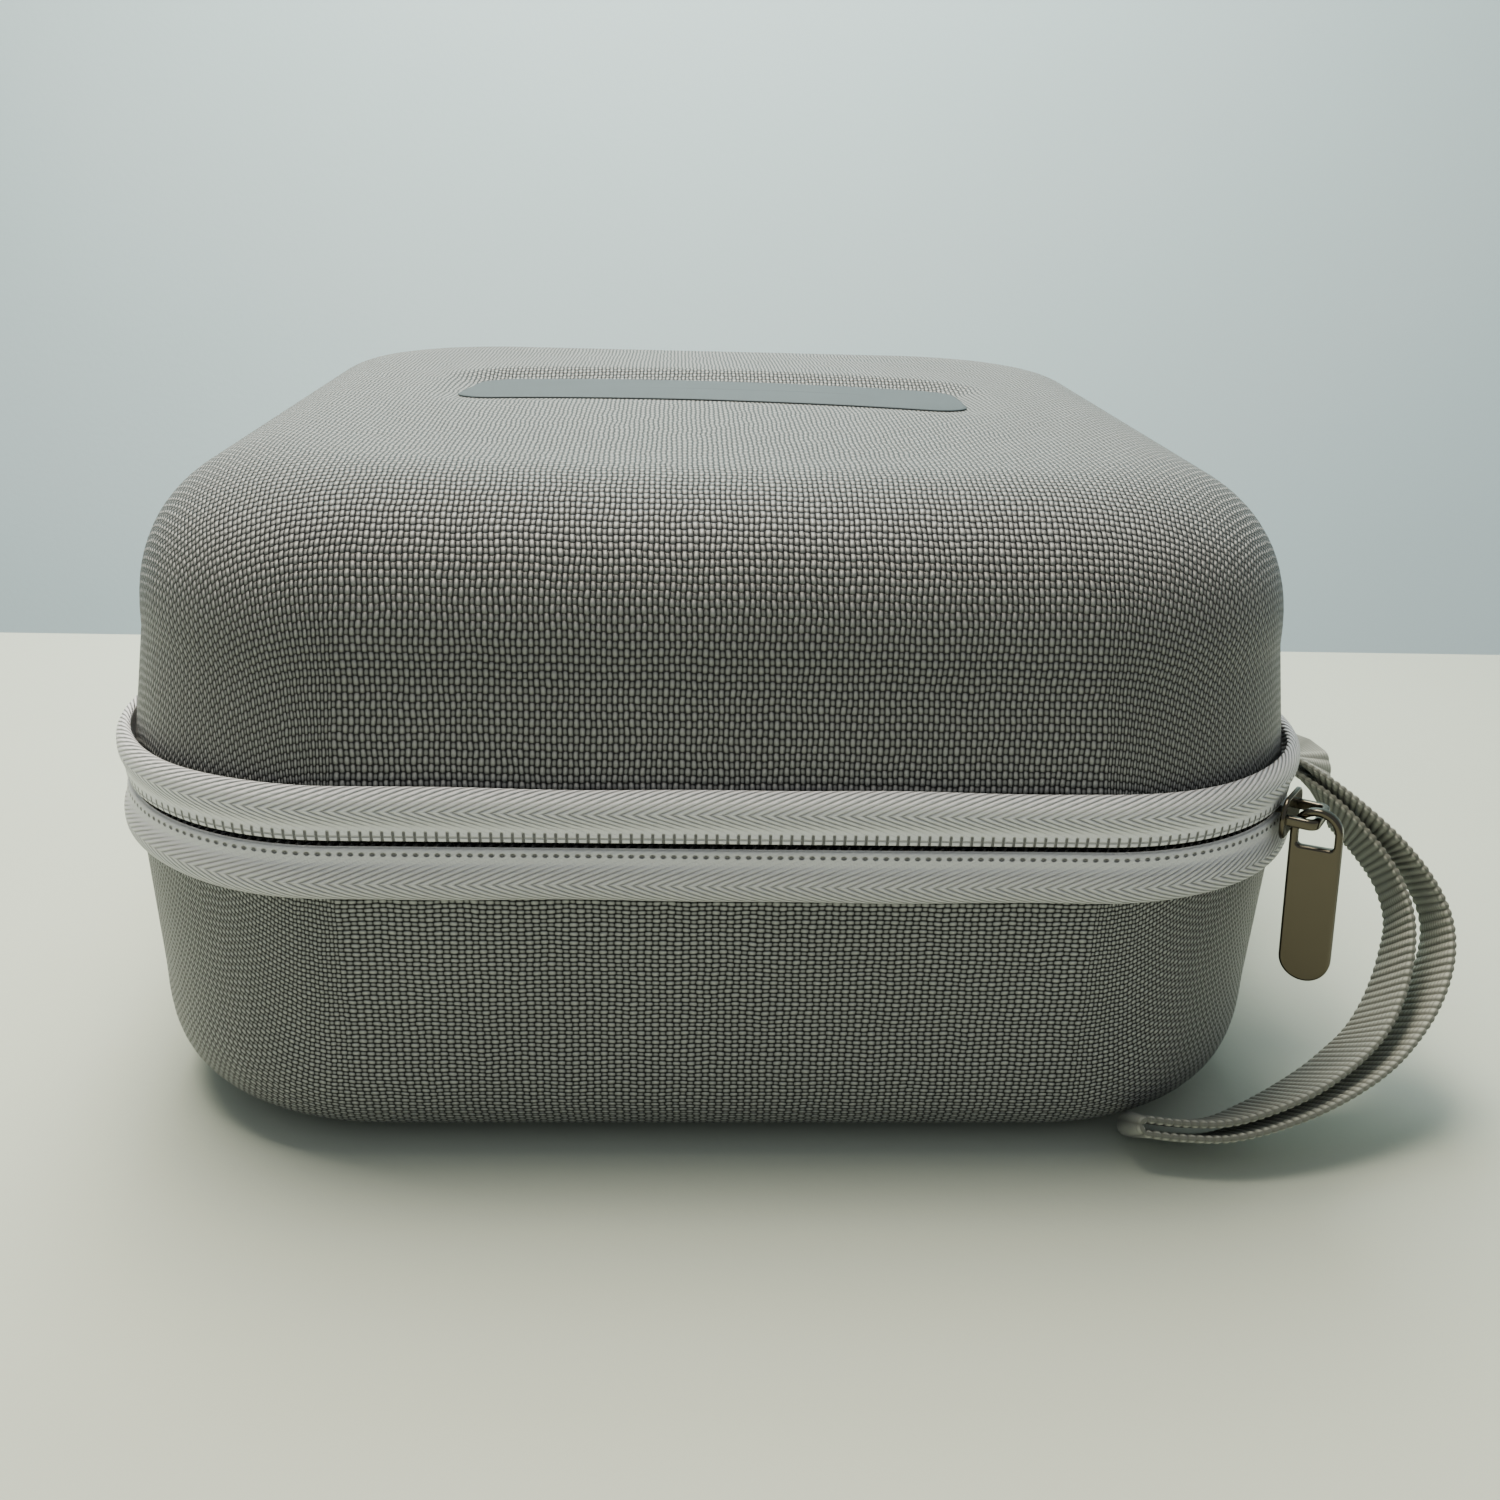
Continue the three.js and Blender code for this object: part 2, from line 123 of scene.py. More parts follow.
class Shader:
    """One material's node tree, built by adding nodes one at a time."""

    def __init__(self, name: str) -> None:
        """Starts an empty material."""
        self.material = bpy.data.materials.new(name)
        self.material.use_nodes = True
        self.tree = self.material.node_tree
        self.tree.nodes.clear()

    def add(self, kind: str, inputs: dict | None = None, **settings: object) -> bpy.types.Node:
        """Adds a node with its settings and its links.

        Args:
            kind: The node's type without its ShaderNode prefix.
            inputs: Socket name or number to a node, a socket or a plain value.
            settings: The node's own properties.

        Returns:
            The new node.
        """
        made = self.tree.nodes.new("ShaderNode" + kind)
        for key, value in settings.items():
            setattr(made, key, value)
        for key, value in (inputs or {}).items():
            if isinstance(value, bpy.types.Node):
                value = value.outputs[0]
            if isinstance(value, bpy.types.NodeSocket):
                self.tree.links.new(value, made.inputs[key])
            else:
                made.inputs[key].default_value = value
        return made

    def calculate(self, operation: str, *values: object) -> bpy.types.Node:
        """Adds a Math node that works on nodes, sockets or numbers."""
        return self.add("Math", dict(enumerate(values)), operation=operation)

    def blend(
        self, low: str | bpy.types.NodeSocket, high: str | bpy.types.NodeSocket, share: bpy.types.Node,
    ) -> bpy.types.NodeSocket:
        """Mixes two colours, each a hex code or a socket.

        Args:
            low: The colour where the share is 0.
            high: The colour where it is 1.
            share: The node that carries the share.

        Returns:
            The mixed colour's socket.
        """
        first, second = (linear(tone) if isinstance(tone, str) else tone for tone in (low, high))
        return self.add("Mix", {6: first, 7: second, 0: share}, data_type="RGBA").outputs[2]

    def cells(self, size: float) -> bpy.types.Node:
        """The object's own coordinates, counted in cells of a size in millimetres."""
        place = self.add("TexCoord")
        return self.add("VectorMath", {0: place.outputs["Object"], 3: 1 / (size * MM)}, operation="SCALE")

    def relief(self, height: bpy.types.Node, depth: float, strength: float = 1.0) -> bpy.types.Node:
        """Bumps of a depth in millimetres, from the node that carries their height."""
        return self.add("Bump", {"Height": height, "Distance": depth * MM, "Strength": strength})

    def finish(self, surface: bpy.types.Node) -> bpy.types.Material:
        """Links the surface to the output and returns the material."""
        self.add("OutputMaterial", {"Surface": surface})
        return self.material


# ------------------------------------------------------------------ finishes
@dataclass(frozen=True)
class WovenNylon:
    """1680-denier nylon, plain woven from thick flat yarns and bonded to moulded foam sheet.

    The eye sees yarn crowns in brick order, glossy where they face the light, with small pits at the corners
    where four yarns meet. The pits are painted nearly black as painted shade, and the crowns lighter as
    painted highlight.
    """

    name: str
    # The crowns' colour is painted highlight on the yarn tops, and the pits' colour is painted shade in the
    # hollows.
    crown: str = "9a9b97"
    shank: str = "7e7f7c"
    pit_shade: str = "060606"
    yarn_u: float = 0.8      # millimetres from one yarn to the next across
    yarn_v: float = 1.17     # and down the cloth
    lift_u: float = 1.0      # height of the crowns of the yarns that run down the cloth
    lift_v: float = 0.62     # and of those that run across it
    roughness: float = 0.4
    specular: float = 0.4
    relief: float = 0.62     # height of a full crown in millimetres

    def yarns(
        self, shade: Shader, own: bpy.types.Node, other: bpy.types.Node, way: float, lift: float,
    ) -> bpy.types.Node:
        """Height of one set of yarns, each rising over and dipping under the other set.

        Args:
            shade: The tree that the nodes go in.
            own: Sine wave whose zeros lie between these yarns.
            other: Sine wave whose zeros lie between the other set.
            way: 1 for the set that is on top where both waves are positive, -1 for the other.
            lift: Height of the set's crowns.

        Returns:
            The node that carries the height.
        """
        width = shade.calculate("ABSOLUTE", own)
        section = shade.calculate("POWER", width, 0.42)
        side = shade.calculate("SIGN", own)
        swing = shade.calculate("MULTIPLY", side, other)
        path = shade.calculate("MULTIPLY_ADD", swing, 0.5 * way, 0.5)
        rise = shade.calculate("MULTIPLY", path, section)
        return shade.calculate("MULTIPLY", rise, lift)

    def build(self) -> bpy.types.Material:
        """Returns the material, which reads the cloth map in millimetres."""
        shade = Shader(self.name)
        cloth = shade.add("UVMap", uv_map=CLOTH_MAP)
        drift = shade.add("TexNoise", {"Vector": cloth, "Scale": 0.16, "Detail": 2.0})
        middle = {0: drift.outputs["Color"], 1: (0.5, 0.5, 0.5)}
        drifted = shade.add("VectorMath", middle, operation="SUBTRACT")
        moved = shade.add("VectorMath", {0: drifted, 1: (0.9, 0.9, 0.0), 2: cloth}, operation="MULTIPLY_ADD")
        axes = shade.add("SeparateXYZ", {0: moved})
        across = shade.calculate("MULTIPLY", axes.outputs["X"], math.pi / self.yarn_u)
        down = shade.calculate("MULTIPLY", axes.outputs["Y"], math.pi / self.yarn_v)
        wave_u = shade.calculate("SINE", across)
        wave_v = shade.calculate("SINE", down)
        warp = self.yarns(shade, wave_u, wave_v, 1.0, self.lift_u)
        weft = self.yarns(shade, wave_v, wave_u, -1.0, self.lift_v)
        height = shade.calculate("MAXIMUM", warp, weft)
        fibre = shade.add("TexNoise", {"Vector": moved, "Scale": 6.0, "Detail": 3.0, "Roughness": 0.6})
        rough_height = shade.calculate("MULTIPLY_ADD", fibre, 0.12, height)
        # Painted shade: nearly black in the low hollows between yarns; painted highlight: lighter on the
        # crowns.
        pits = shade.add("MapRange", {0: height, 1: 0.32, 2: 0.64}, interpolation_type="SMOOTHSTEP")
        crowns = shade.add("MapRange", {0: height, 1: 0.55, 2: 1.0}, interpolation_type="SMOOTHSTEP")
        base = shade.blend(self.pit_shade, self.shank, pits)
        colour = shade.blend(base, self.crown, crowns)
        wear = shade.add("TexNoise", {"Vector": moved, "Scale": 0.05, "Detail": 3.0})
        tone = shade.add("MapRange", {0: wear, 3: 0.92, 4: 1.08})
        toned = shade.add("VectorMath", {0: colour, 3: tone}, operation="SCALE")
        bump = shade.relief(rough_height, self.relief)
        return shade.finish(shade.add("BsdfPrincipled", {
            "Base Color": toned, "Roughness": self.roughness, "Specular IOR Level": self.specular,
            "Normal": bump,
        }))


class StitchRow(Enum):
    """What the coil's sewing shows as on a tape's face."""

    LADDER = "ladder"
    HOLES = "holes"


@dataclass(frozen=True)
class HerringboneTape:
    """Polyester zip tape, woven in herringbone, with the reversed coil sewn behind it.

    The eye sees pale satin chevrons, their grooves painted darker as painted shade, and near the gap a row
    of stitches with the coil's pitch, their dents painted dark as painted shade.
    """

    name: str
    stitches: StitchRow
    pale: str = "e6e6e6"
    # The groove colour is painted shade in the grooves between the ribs.
    groove_shade: str = "9a9a9b"
    # Painted shade in the dents of the stitches.
    shadow: str = "4b4b49"
    rib: float = 1.85        # millimetres between chevrons along the tape
    slope: float = 2.4       # how far a rib runs along for each millimetre across
    apex: float = 6.1        # from the gap's edge to the chevrons' points
    pitch: float = 1.56      # of the coil
    relief: float = 0.42
    coil_band: tuple = (2.8, 4.6)  # where the smooth band over the coil gives way to the ribs

    def build(self) -> bpy.types.Material:
        """Returns the material; the cloth map runs along the tape and away from the gap."""
        shade = Shader(self.name)
        cloth = shade.add("UVMap", uv_map=CLOTH_MAP)
        axes = shade.add("SeparateXYZ", {0: cloth})
        along, across = axes.outputs["X"], axes.outputs["Y"]
        from_apex = shade.calculate("SUBTRACT", across, self.apex)
        fold = shade.calculate("ABSOLUTE", from_apex)
        slant = shade.calculate("MULTIPLY_ADD", fold, -self.slope, along)
        turn = shade.calculate("MULTIPLY", slant, math.pi / self.rib)
        wave = shade.calculate("SINE", turn)
        arch = shade.calculate("ABSOLUTE", wave)
        ribs = shade.calculate("POWER", arch, 0.6)
        floats = shade.calculate("MULTIPLY", across, math.pi / 0.42)
        float_wave = shade.calculate("SINE", floats)
        beaded = shade.calculate("MULTIPLY_ADD", float_wave, 0.07, ribs)
        smooth, ribbed_from = self.coil_band
        ends = {0: across, 1: smooth, 2: ribbed_from, 3: 0.1, 4: 1.0}
        coil_zone = shade.add("MapRange", ends, interpolation_type="SMOOTHSTEP")
        ribbed = shade.calculate("MULTIPLY", beaded, coil_zone)
        fibre = shade.add("TexNoise", {"Vector": cloth, "Scale": 3.0, "Detail": 3.0})
        fuzz = shade.calculate("MULTIPLY_ADD", fibre, 0.3, ribbed)
        row = self.stitch_mask(shade, along, across)
        height = shade.calculate("MULTIPLY_ADD", row, -1.4, fuzz)
        # Painted highlight and shade: lighter on the ribs' crests, darker in their grooves.
        rib_light_and_shade = shade.blend(self.groove_shade, self.pale, ribs)
        level = shade.blend(self.pale, rib_light_and_shade, coil_zone)
        # Painted shade in the stitch dents, which the bump also sinks.
        dark = shade.calculate("MULTIPLY", row, 0.9)
        colour = shade.blend(level, self.shadow, dark)
        bump = shade.relief(height, self.relief)
        return shade.finish(shade.add("BsdfPrincipled", {
            "Base Color": colour, "Roughness": 0.42, "Specular IOR Level": 0.55, "Normal": bump,
        }))

    def stitch_mask(
        self, shade: Shader, along: bpy.types.NodeSocket, across: bpy.types.NodeSocket,
    ) -> bpy.types.Node:
        """Painted shade in the sewing's dents: a ladder of upright bars on one cross thread, or a row of
        holes.

        Args:
            shade: The tree that the nodes go in.
            along: Distance along the tape.
            across: Distance from the gap's edge.

        Returns:
            A node whose value is 1 in a mark and 0 beside it.
        """
        place = shade.calculate("PINGPONG", along, self.pitch / 2)
        centre = shade.calculate("SUBTRACT", across, 1.7)
        off_row = shade.calculate("ABSOLUTE", centre)
        if self.stitches is StitchRow.LADDER:
            bar = shade.add("MapRange", {0: place, 1: 0.08, 2: 0.26, 3: 1.0, 4: 0.0})
            inside = shade.add("MapRange", {0: off_row, 1: 0.7, 2: 1.0, 3: 1.0, 4: 0.0})
            bars = shade.calculate("MULTIPLY", bar, inside)
            cross = shade.add("MapRange", {0: off_row, 1: 0.06, 2: 0.2, 3: 0.55, 4: 0.0})
            return shade.calculate("MAXIMUM", bars, cross)
        flat = shade.calculate("MULTIPLY", place, 0.72)
        spot = shade.add("CombineXYZ", {"X": flat, "Y": centre})
        distance = shade.add("VectorMath", {0: spot}, operation="LENGTH")
        return shade.add("MapRange", {0: distance.outputs["Value"], 1: 0.14, 2: 0.34, 3: 1.0, 4: 0.0})


@dataclass(frozen=True)
class RibbedWebbing:
    """Polyester webbing: cross ribs packed along the strip, each rib of short twisted floats.

    The ribs are in the mesh; the nodes add the floats' broken rows, painted darker between the floats as
    painted shade, and a dry, chalky sheen.
    """

    name: str
    # The pale colour is painted highlight on the floats' tops, and the dark colour is painted shade between
    # them.
    pale: str = "b4b6a8"
    dark: str = "6e7066"
    rib: float = 1.36        # millimetres from rib to rib
    float_width: float = 1.0

    def build(self) -> bpy.types.Material:
        """Returns the material; the cloth map runs along and across the strip."""
        shade = Shader(self.name)
        cloth = shade.add("UVMap", uv_map=CLOTH_MAP)
        axes = shade.add("SeparateXYZ", {0: cloth})
        along = shade.calculate("MULTIPLY", axes.outputs["X"], math.pi / self.rib)
        across = shade.calculate("MULTIPLY", axes.outputs["Y"], math.pi / self.float_width)
        wave_u = shade.calculate("SINE", along)
        wave_v = shade.calculate("SINE", across)
        round_u = shade.calculate("ABSOLUTE", wave_u)
        round_v = shade.calculate("ABSOLUTE", wave_v)
        raised = shade.calculate("POWER", round_v, 0.4)
        floats = shade.calculate("MULTIPLY", round_u, raised)
        fibre = shade.add("TexNoise", {"Vector": cloth, "Scale": 3.5, "Detail": 3.0})
        height = shade.calculate("MULTIPLY_ADD", fibre, 0.4, floats)
        # Painted shade and highlight: darker between the floats, lighter on their tops.
        colour = shade.blend(self.dark, self.pale, floats)
        bump = shade.relief(height, 0.2)
        return shade.finish(shade.add("BsdfPrincipled", {
            "Base Color": colour, "Roughness": 0.75, "Specular IOR Level": 0.3,
            "Sheen Weight": 0.2, "Sheen Roughness": 0.5, "Normal": bump,
        }))


@dataclass(frozen=True)
class PlatedZinc:
    """Black-nickel plated zinc die casting: a warm dark mirror with a barrel-tumbled grain."""

    name: str
    tint: str = "575247"
    roughness: float = 0.17

    def build(self) -> bpy.types.Material:
        """Returns the metal, with faint tumbling marks and worn, smoother spots."""
        shade = Shader(self.name)
        place = shade.add("TexCoord")
        grain = shade.add("TexNoise", {"Vector": place.outputs["Object"], "Scale": 900.0, "Detail": 4.0})
        wear = shade.add("TexNoise", {"Vector": place.outputs["Object"], "Scale": 160.0, "Detail": 2.0})
        rough = shade.add("MapRange", {0: wear, 3: self.roughness * 0.7, 4: self.roughness * 1.5})
        bump = shade.relief(grain, 0.02, 0.5)
        return shade.finish(shade.add("BsdfPrincipled", {
            "Base Color": linear(self.tint), "Metallic": 1.0, "Roughness": rough, "Normal": bump,
        }))


@dataclass(frozen=True)
class DrawnNylon:
    """Nylon monofilament of the coil: smooth, slightly translucent grey plastic with a low gloss.

    Its dark tone is painted shade of the gap between the tapes.
    """

    name: str
    # Painted shade: the coil is coloured dark for the shade in the gap between the tapes.
    tone: str = "2b2b2a"

    def build(self) -> bpy.types.Material:
        """Returns the plastic, mottled a little along the wire."""
        shade = Shader(self.name)
        place = shade.add("TexCoord")
        mottle = shade.add("TexNoise", {"Vector": place.outputs["Object"], "Scale": 400.0})
        colour = shade.blend(self.tone, "3f3f3d", mottle)
        return shade.finish(shade.add("BsdfPrincipled", {"Base Color": colour, "Roughness": 0.4}))


@dataclass(frozen=True)
class SoftCloth:
    """Brushed knit or plain binding cloth, seen close up as a fine, slightly hairy grain."""

    name: str
    tone: str
    light: str
    grain: float = 0.6       # millimetres
    relief: float = 0.15

    def build(self) -> bpy.types.Material:
        """Returns the cloth: a fine knit grid broken up by loose fibres."""
        shade = Shader(self.name)
        grid = shade.cells(self.grain)
        knit = shade.add("TexVoronoi", {"Vector": grid, "Scale": 1.0, "Randomness": 0.45})
        hairs = shade.add("TexNoise", {"Vector": grid, "Scale": 2.5, "Detail": 4.0, "Roughness": 0.7})
        height = shade.calculate("MULTIPLY_ADD", hairs, 0.6, knit.outputs["Distance"])
        colour = shade.blend(self.light, self.tone, height)
        bump = shade.relief(height, self.relief, 0.8)
        bump.invert = True
        return shade.finish(shade.add("BsdfPrincipled", {
            "Base Color": colour, "Roughness": 0.9, "Specular IOR Level": 0.2,
            "Sheen Weight": 0.4, "Sheen Roughness": 0.5, "Normal": bump,
        }))


@dataclass(frozen=True)
class OpenCellFoam:
    """Charcoal polyurethane foam: matt, with open pores where the blade cut it."""

    name: str
    tone: str = "35373a"
    pore: float = 0.7        # millimetres

    def build(self) -> bpy.types.Material:
        """Returns the foam: pale cell walls round dark pores of two sizes."""
        shade = Shader(self.name)
        cells = shade.cells(self.pore)
        pores = shade.add("TexVoronoi", {"Vector": cells, "Scale": 1.0})
        fine = shade.add("TexVoronoi", {"Vector": cells, "Scale": 2.7})
        depth = shade.calculate("MULTIPLY_ADD", fine.outputs["Distance"], 0.4, pores.outputs["Distance"])
        wall = shade.add("MapRange", {0: depth, 1: 0.2, 2: 1.0, 3: 0.0, 4: 1.0})
        colour = shade.blend("17181a", self.tone, wall)
        bump = shade.relief(depth, 0.35, 0.9)
        return shade.finish(shade.add("BsdfPrincipled", {
            "Base Color": colour, "Roughness": 0.95, "Specular IOR Level": 0.15, "Normal": bump,
        }))


@dataclass(frozen=True)
class SatinPatch:
    """Blank badge of coated satin: cool blue-grey, almost smooth, with a fine twill under the coat."""

    name: str
    tone: str = "3e484a"

    def build(self) -> bpy.types.Material:
        """Returns the patch's cloth."""
        shade = Shader(self.name)
        cloth = shade.add("UVMap", uv_map=CLOTH_MAP)
        threads = {"Vector": cloth, "Scale": 0.8, "Distortion": 0.6}
        twill = shade.add("TexWave", threads, bands_direction="DIAGONAL")
        cloud = shade.add("TexNoise", {"Vector": cloth, "Scale": 0.08, "Detail": 2.0})
        colour = shade.blend(self.tone, "465053", cloud)
        bump = shade.relief(twill, 0.03, 0.6)
        return shade.finish(shade.add("BsdfPrincipled", {
            "Base Color": colour, "Roughness": 0.6, "Specular IOR Level": 0.2, "Normal": bump,
        }))


@dataclass(frozen=True)
class StagePaint:
    """Matt painted board of the floor or backdrop, faintly mottled; the backdrop vanishes from behind."""

    name: str
    tone: str
    shade_tone: str
    one_sided: bool = False

    def build(self) -> bpy.types.Material:
        """Returns the paint."""
        shade = Shader(self.name)
        place = shade.add("TexCoord")
        mottle = shade.add("TexNoise", {"Vector": place.outputs["Object"], "Scale": 7.0, "Detail": 5.0})
        colour = shade.blend(self.tone, self.shade_tone, mottle)
        grain = shade.add("TexNoise", {"Vector": place.outputs["Object"], "Scale": 300.0, "Detail": 4.0})
        bump = shade.relief(grain, 0.2, 0.4)
        paint = shade.add("BsdfPrincipled", {"Base Color": colour, "Roughness": 0.8, "Normal": bump})
        if not self.one_sided:
            return shade.finish(paint)
        side = shade.add("NewGeometry")
        clear = shade.add("BsdfTransparent")
        return shade.finish(shade.add("MixShader", {0: side.outputs["Backfacing"], 1: paint, 2: clear}))


# ------------------------------------------------------------------ meshes
def place(piece: bpy.types.Object, body: str, slot: str, *nodes: str) -> bpy.types.Object:
    """Ties a finished piece to the frame.

    Args:
        piece: The object, in place.
        body: The CAD body that it rides on.
        slot: The record's material slot of its finish; not used.
        nodes: The CAD nodes that it stands for.

    Returns:
        The piece.
    """
    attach(piece, body)
    if nodes:
        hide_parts(*nodes)
    log.info("%s rides on %s, %d vertices", piece.name, body, len(piece.data.vertices))
    return piece


def mesh_object(name: str, points: np.ndarray, faces: list, finish: bpy.types.Material) -> bpy.types.Object:
    """Makes a smooth mesh object from points in millimetres.

    Args:
        name: The object's name.
        points: One row of x, y, z per vertex.
        faces: Vertex numbers of each face.
        finish: Its material.

    Returns:
        The linked object.
    """
    mesh = bpy.data.meshes.new(name)
    mesh.from_pydata((np.asarray(points) * MM).tolist(), [], faces)
    mesh.polygons.foreach_set("use_smooth", [True] * len(mesh.polygons))
    mesh.materials.append(finish)
    made = bpy.data.objects.new(name, mesh)
    bpy.context.scene.collection.objects.link(made)
    return made


def surface(
    name: str, grid: np.ndarray, finish: bpy.types.Material, cloth: np.ndarray | None = None,
    wrap_rows: bool = False, capped: bool = False,
) -> bpy.types.Object:
    """Makes a surface from a grid whose columns close on themselves.

    Args:
        name: The object's name.
        grid: Points by row and column, in millimetres.
        finish: Its material.
        cloth: Map coordinates by row and column, with one row and one column more than the grid
            where it wraps.
        wrap_rows: Whether the last row joins the first.
        capped: Whether the first and last rows are filled.

    Returns:
        The linked object, with its faces pointing out.
    """
    rows, columns = grid.shape[:2]
    last_row = rows if wrap_rows else rows - 1
    faces = []
    corners = []
    for row in range(last_row):
        below = (row + 1) % rows
        for column in range(columns):
            right = (column + 1) % columns
            faces.append((row * columns + column, row * columns + right,
                          below * columns + right, below * columns + column))
            corners.append(((row, column), (row, column + 1), (row + 1, column + 1), (row + 1, column)))
    if capped:
        faces.append(tuple(range(columns))[::-1])
        faces.append(tuple(range((rows - 1) * columns, rows * columns)))
        corners.append(tuple((0, column) for column in range(columns))[::-1])
        corners.append(tuple((rows - 1, column) for column in range(columns)))
    made = mesh_object(name, grid.reshape(-1, 3), faces, finish)
    if cloth is not None:
        layer = made.data.uv_layers.new(name=CLOTH_MAP)
        flat = np.array([cloth[row, column] for face in corners for row, column in face], dtype=np.float32)
        layer.data.foreach_set("uv", flat.ravel())
    point_outwards(made)
    return made


def point_outwards(piece: bpy.types.Object) -> None:
    """Turns a closed mesh's faces so that they point out of it."""
    mesh = piece.data
    mesh.calc_loop_triangles()
    points = np.array([vertex.co for vertex in mesh.vertices])
    triangles = np.array([triangle.vertices for triangle in mesh.loop_triangles])
    a, b, c = (points[triangles[:, i]] for i in range(3))
    if np.einsum("ij,ij->i", a, np.cross(b, c)).sum() < 0:
        mesh.flip_normals()


def applied(piece: bpy.types.Object) -> bpy.types.Object:
    """Turns an object with modifiers, or a curve, into a plain mesh object of the same name.

    Args:
        piece: The object to convert.

    Returns:
        The new mesh object; the old one is removed.
    """
    bpy.context.view_layer.update()
    graph = bpy.context.evaluated_depsgraph_get()
    mesh = bpy.data.meshes.new_from_object(piece.evaluated_get(graph), depsgraph=graph)
    name = piece.name
    mesh.transform(piece.matrix_world)
    bpy.data.objects.remove(piece)
    made = bpy.data.objects.new(name, mesh)
    bpy.context.scene.collection.objects.link(made)
    return made


def plate(
    name: str, outlines: list[np.ndarray], thickness: float, bevel: float, axes: Matrix,
    finish: bpy.types.Material,
) -> bpy.types.Object:
    """Makes a bevelled plate from closed outlines; inner outlines are holes.

    Args:
        name: The object's name.
        outlines: Points of each outline in the plate's plane, in millimetres.
        thickness: Its whole thickness, centred on the plane.
        bevel: Radius of its rounded edges.
        axes: Takes the plate's own axes to the frame, in metres.
        finish: Its material.

    Returns:
        The linked mesh object.
    """
    curve = bpy.data.curves.new(name, "CURVE")
    curve.dimensions = "2D"
    curve.fill_mode = "BOTH"
    curve.extrude = (thickness / 2 - bevel) * MM
    curve.bevel_depth = bevel * MM
    curve.bevel_resolution = 3
    curve.offset = -bevel * MM
    for outline in outlines:
        spline = curve.splines.new("POLY")
        spline.points.add(len(outline) - 1)
        for point, (x, y) in zip(spline.points, outline):
            point.co = (x * MM, y * MM, 0, 1)
        spline.use_cyclic_u = True
    drawn = bpy.data.objects.new(name, curve)
    drawn.matrix_world = axes
    bpy.context.scene.collection.objects.link(drawn)
    made = applied(drawn)
    made.data.materials.clear()
    made.data.materials.append(finish)
    shade_by_angle(made)
    return made


def shade_by_angle(piece: bpy.types.Object, degrees: float = 40.0) -> None:
    """Shades a mesh smooth but keeps edges sharper than an angle."""
    piece.data.polygons.foreach_set("use_smooth", [True] * len(piece.data.polygons))
    piece.data.set_sharp_from_angle(angle=math.radians(degrees))


def arc(
    x: float, y: float, radius: float, start: float, end: float, steps: int = 12,
) -> list[tuple[float, float]]:
    """Lists an arc's points, both ends included.

    Args:
        x: The centre's first coordinate.
        y: Its second.
        radius: The arc's radius.
        start: Where it starts, in degrees.
        end: Where it ends.
        steps: How many spans it has.

    Returns:
        The points.
    """
    angles = np.radians(np.linspace(start, end, steps + 1))
    return [(x + radius * math.cos(a), y + radius * math.sin(a)) for a in angles]


def rounded(half_x: float, half_y: float, radius: float, x: float = 0.0, y: float = 0.0) -> np.ndarray:
    """Outline of a rounded rectangle round a centre, anticlockwise."""
    points = []
    for quarter, (side_x, side_y) in enumerate(((1, 1), (-1, 1), (-1, -1), (1, -1))):
        centre = (x + side_x * (half_x - radius), y + side_y * (half_y - radius))
        points += arc(*centre, radius, 90 * quarter, 90 * quarter + 90)
    return np.array(points)


def between(
    before: np.ndarray, start: np.ndarray, end: np.ndarray, after: np.ndarray, t: float | np.ndarray,
) -> np.ndarray:
    """A point of the smooth curve that runs through four points in turn.

    Args:
        before: The point before the span.
        start: The span's first point.
        end: Its last point.
        after: The point after it.
        t: Place along the span, from 0 to 1.

    Returns:
        The point, or one row per place.
    """
    bend = 2 * before - 5 * start + 4 * end - after
    twist = 3 * start - before - 3 * end + after
    return 0.5 * (2 * start + (end - before) * t + bend * t ** 2 + twist * t ** 3)


def ease(share: float | np.ndarray) -> float | np.ndarray:
    """A share from 0 to 1 that starts and stops gently."""
    return share * share * (3 - 2 * share)


# ------------------------------------------------------------------ half shells
@dataclass
class Outline:
    """Columns of a rounded rectangle: every ring of a shell has the same ones, so rings join up."""

    per_corner: int = 18
    per_side: int = 22

    def columns(
        self, half_x: float, half_y: float, radius: float,
    ) -> tuple[np.ndarray, np.ndarray, np.ndarray]:
        """One ring's columns.

        Args:
            half_x: Half its width.
            half_y: Half its length.
            radius: Its corner radius.

        Returns:
            The points, the corner centre or side point under each, and the outward directions.
        """
        angles = []
        feet = []
        inner = np.array([half_x - radius, half_y - radius])
        signs = np.array(((1, 1), (-1, 1), (-1, -1), (1, -1)))
        for quarter in range(4):
            here = inner * signs[quarter]
            there = inner * signs[(quarter + 1) % 4]
            for step in range(self.per_corner):
                angles.append((quarter + step / self.per_corner) * math.pi / 2)
                feet.append(here)
            for step in range(self.per_side):
                angles.append((quarter + 1) * math.pi / 2)
                feet.append(here + (there - here) * step / self.per_side)
        ways = np.stack((np.cos(angles), np.sin(angles)), axis=1)
        feet = np.array(feet)
        return feet + radius * ways, feet, ways


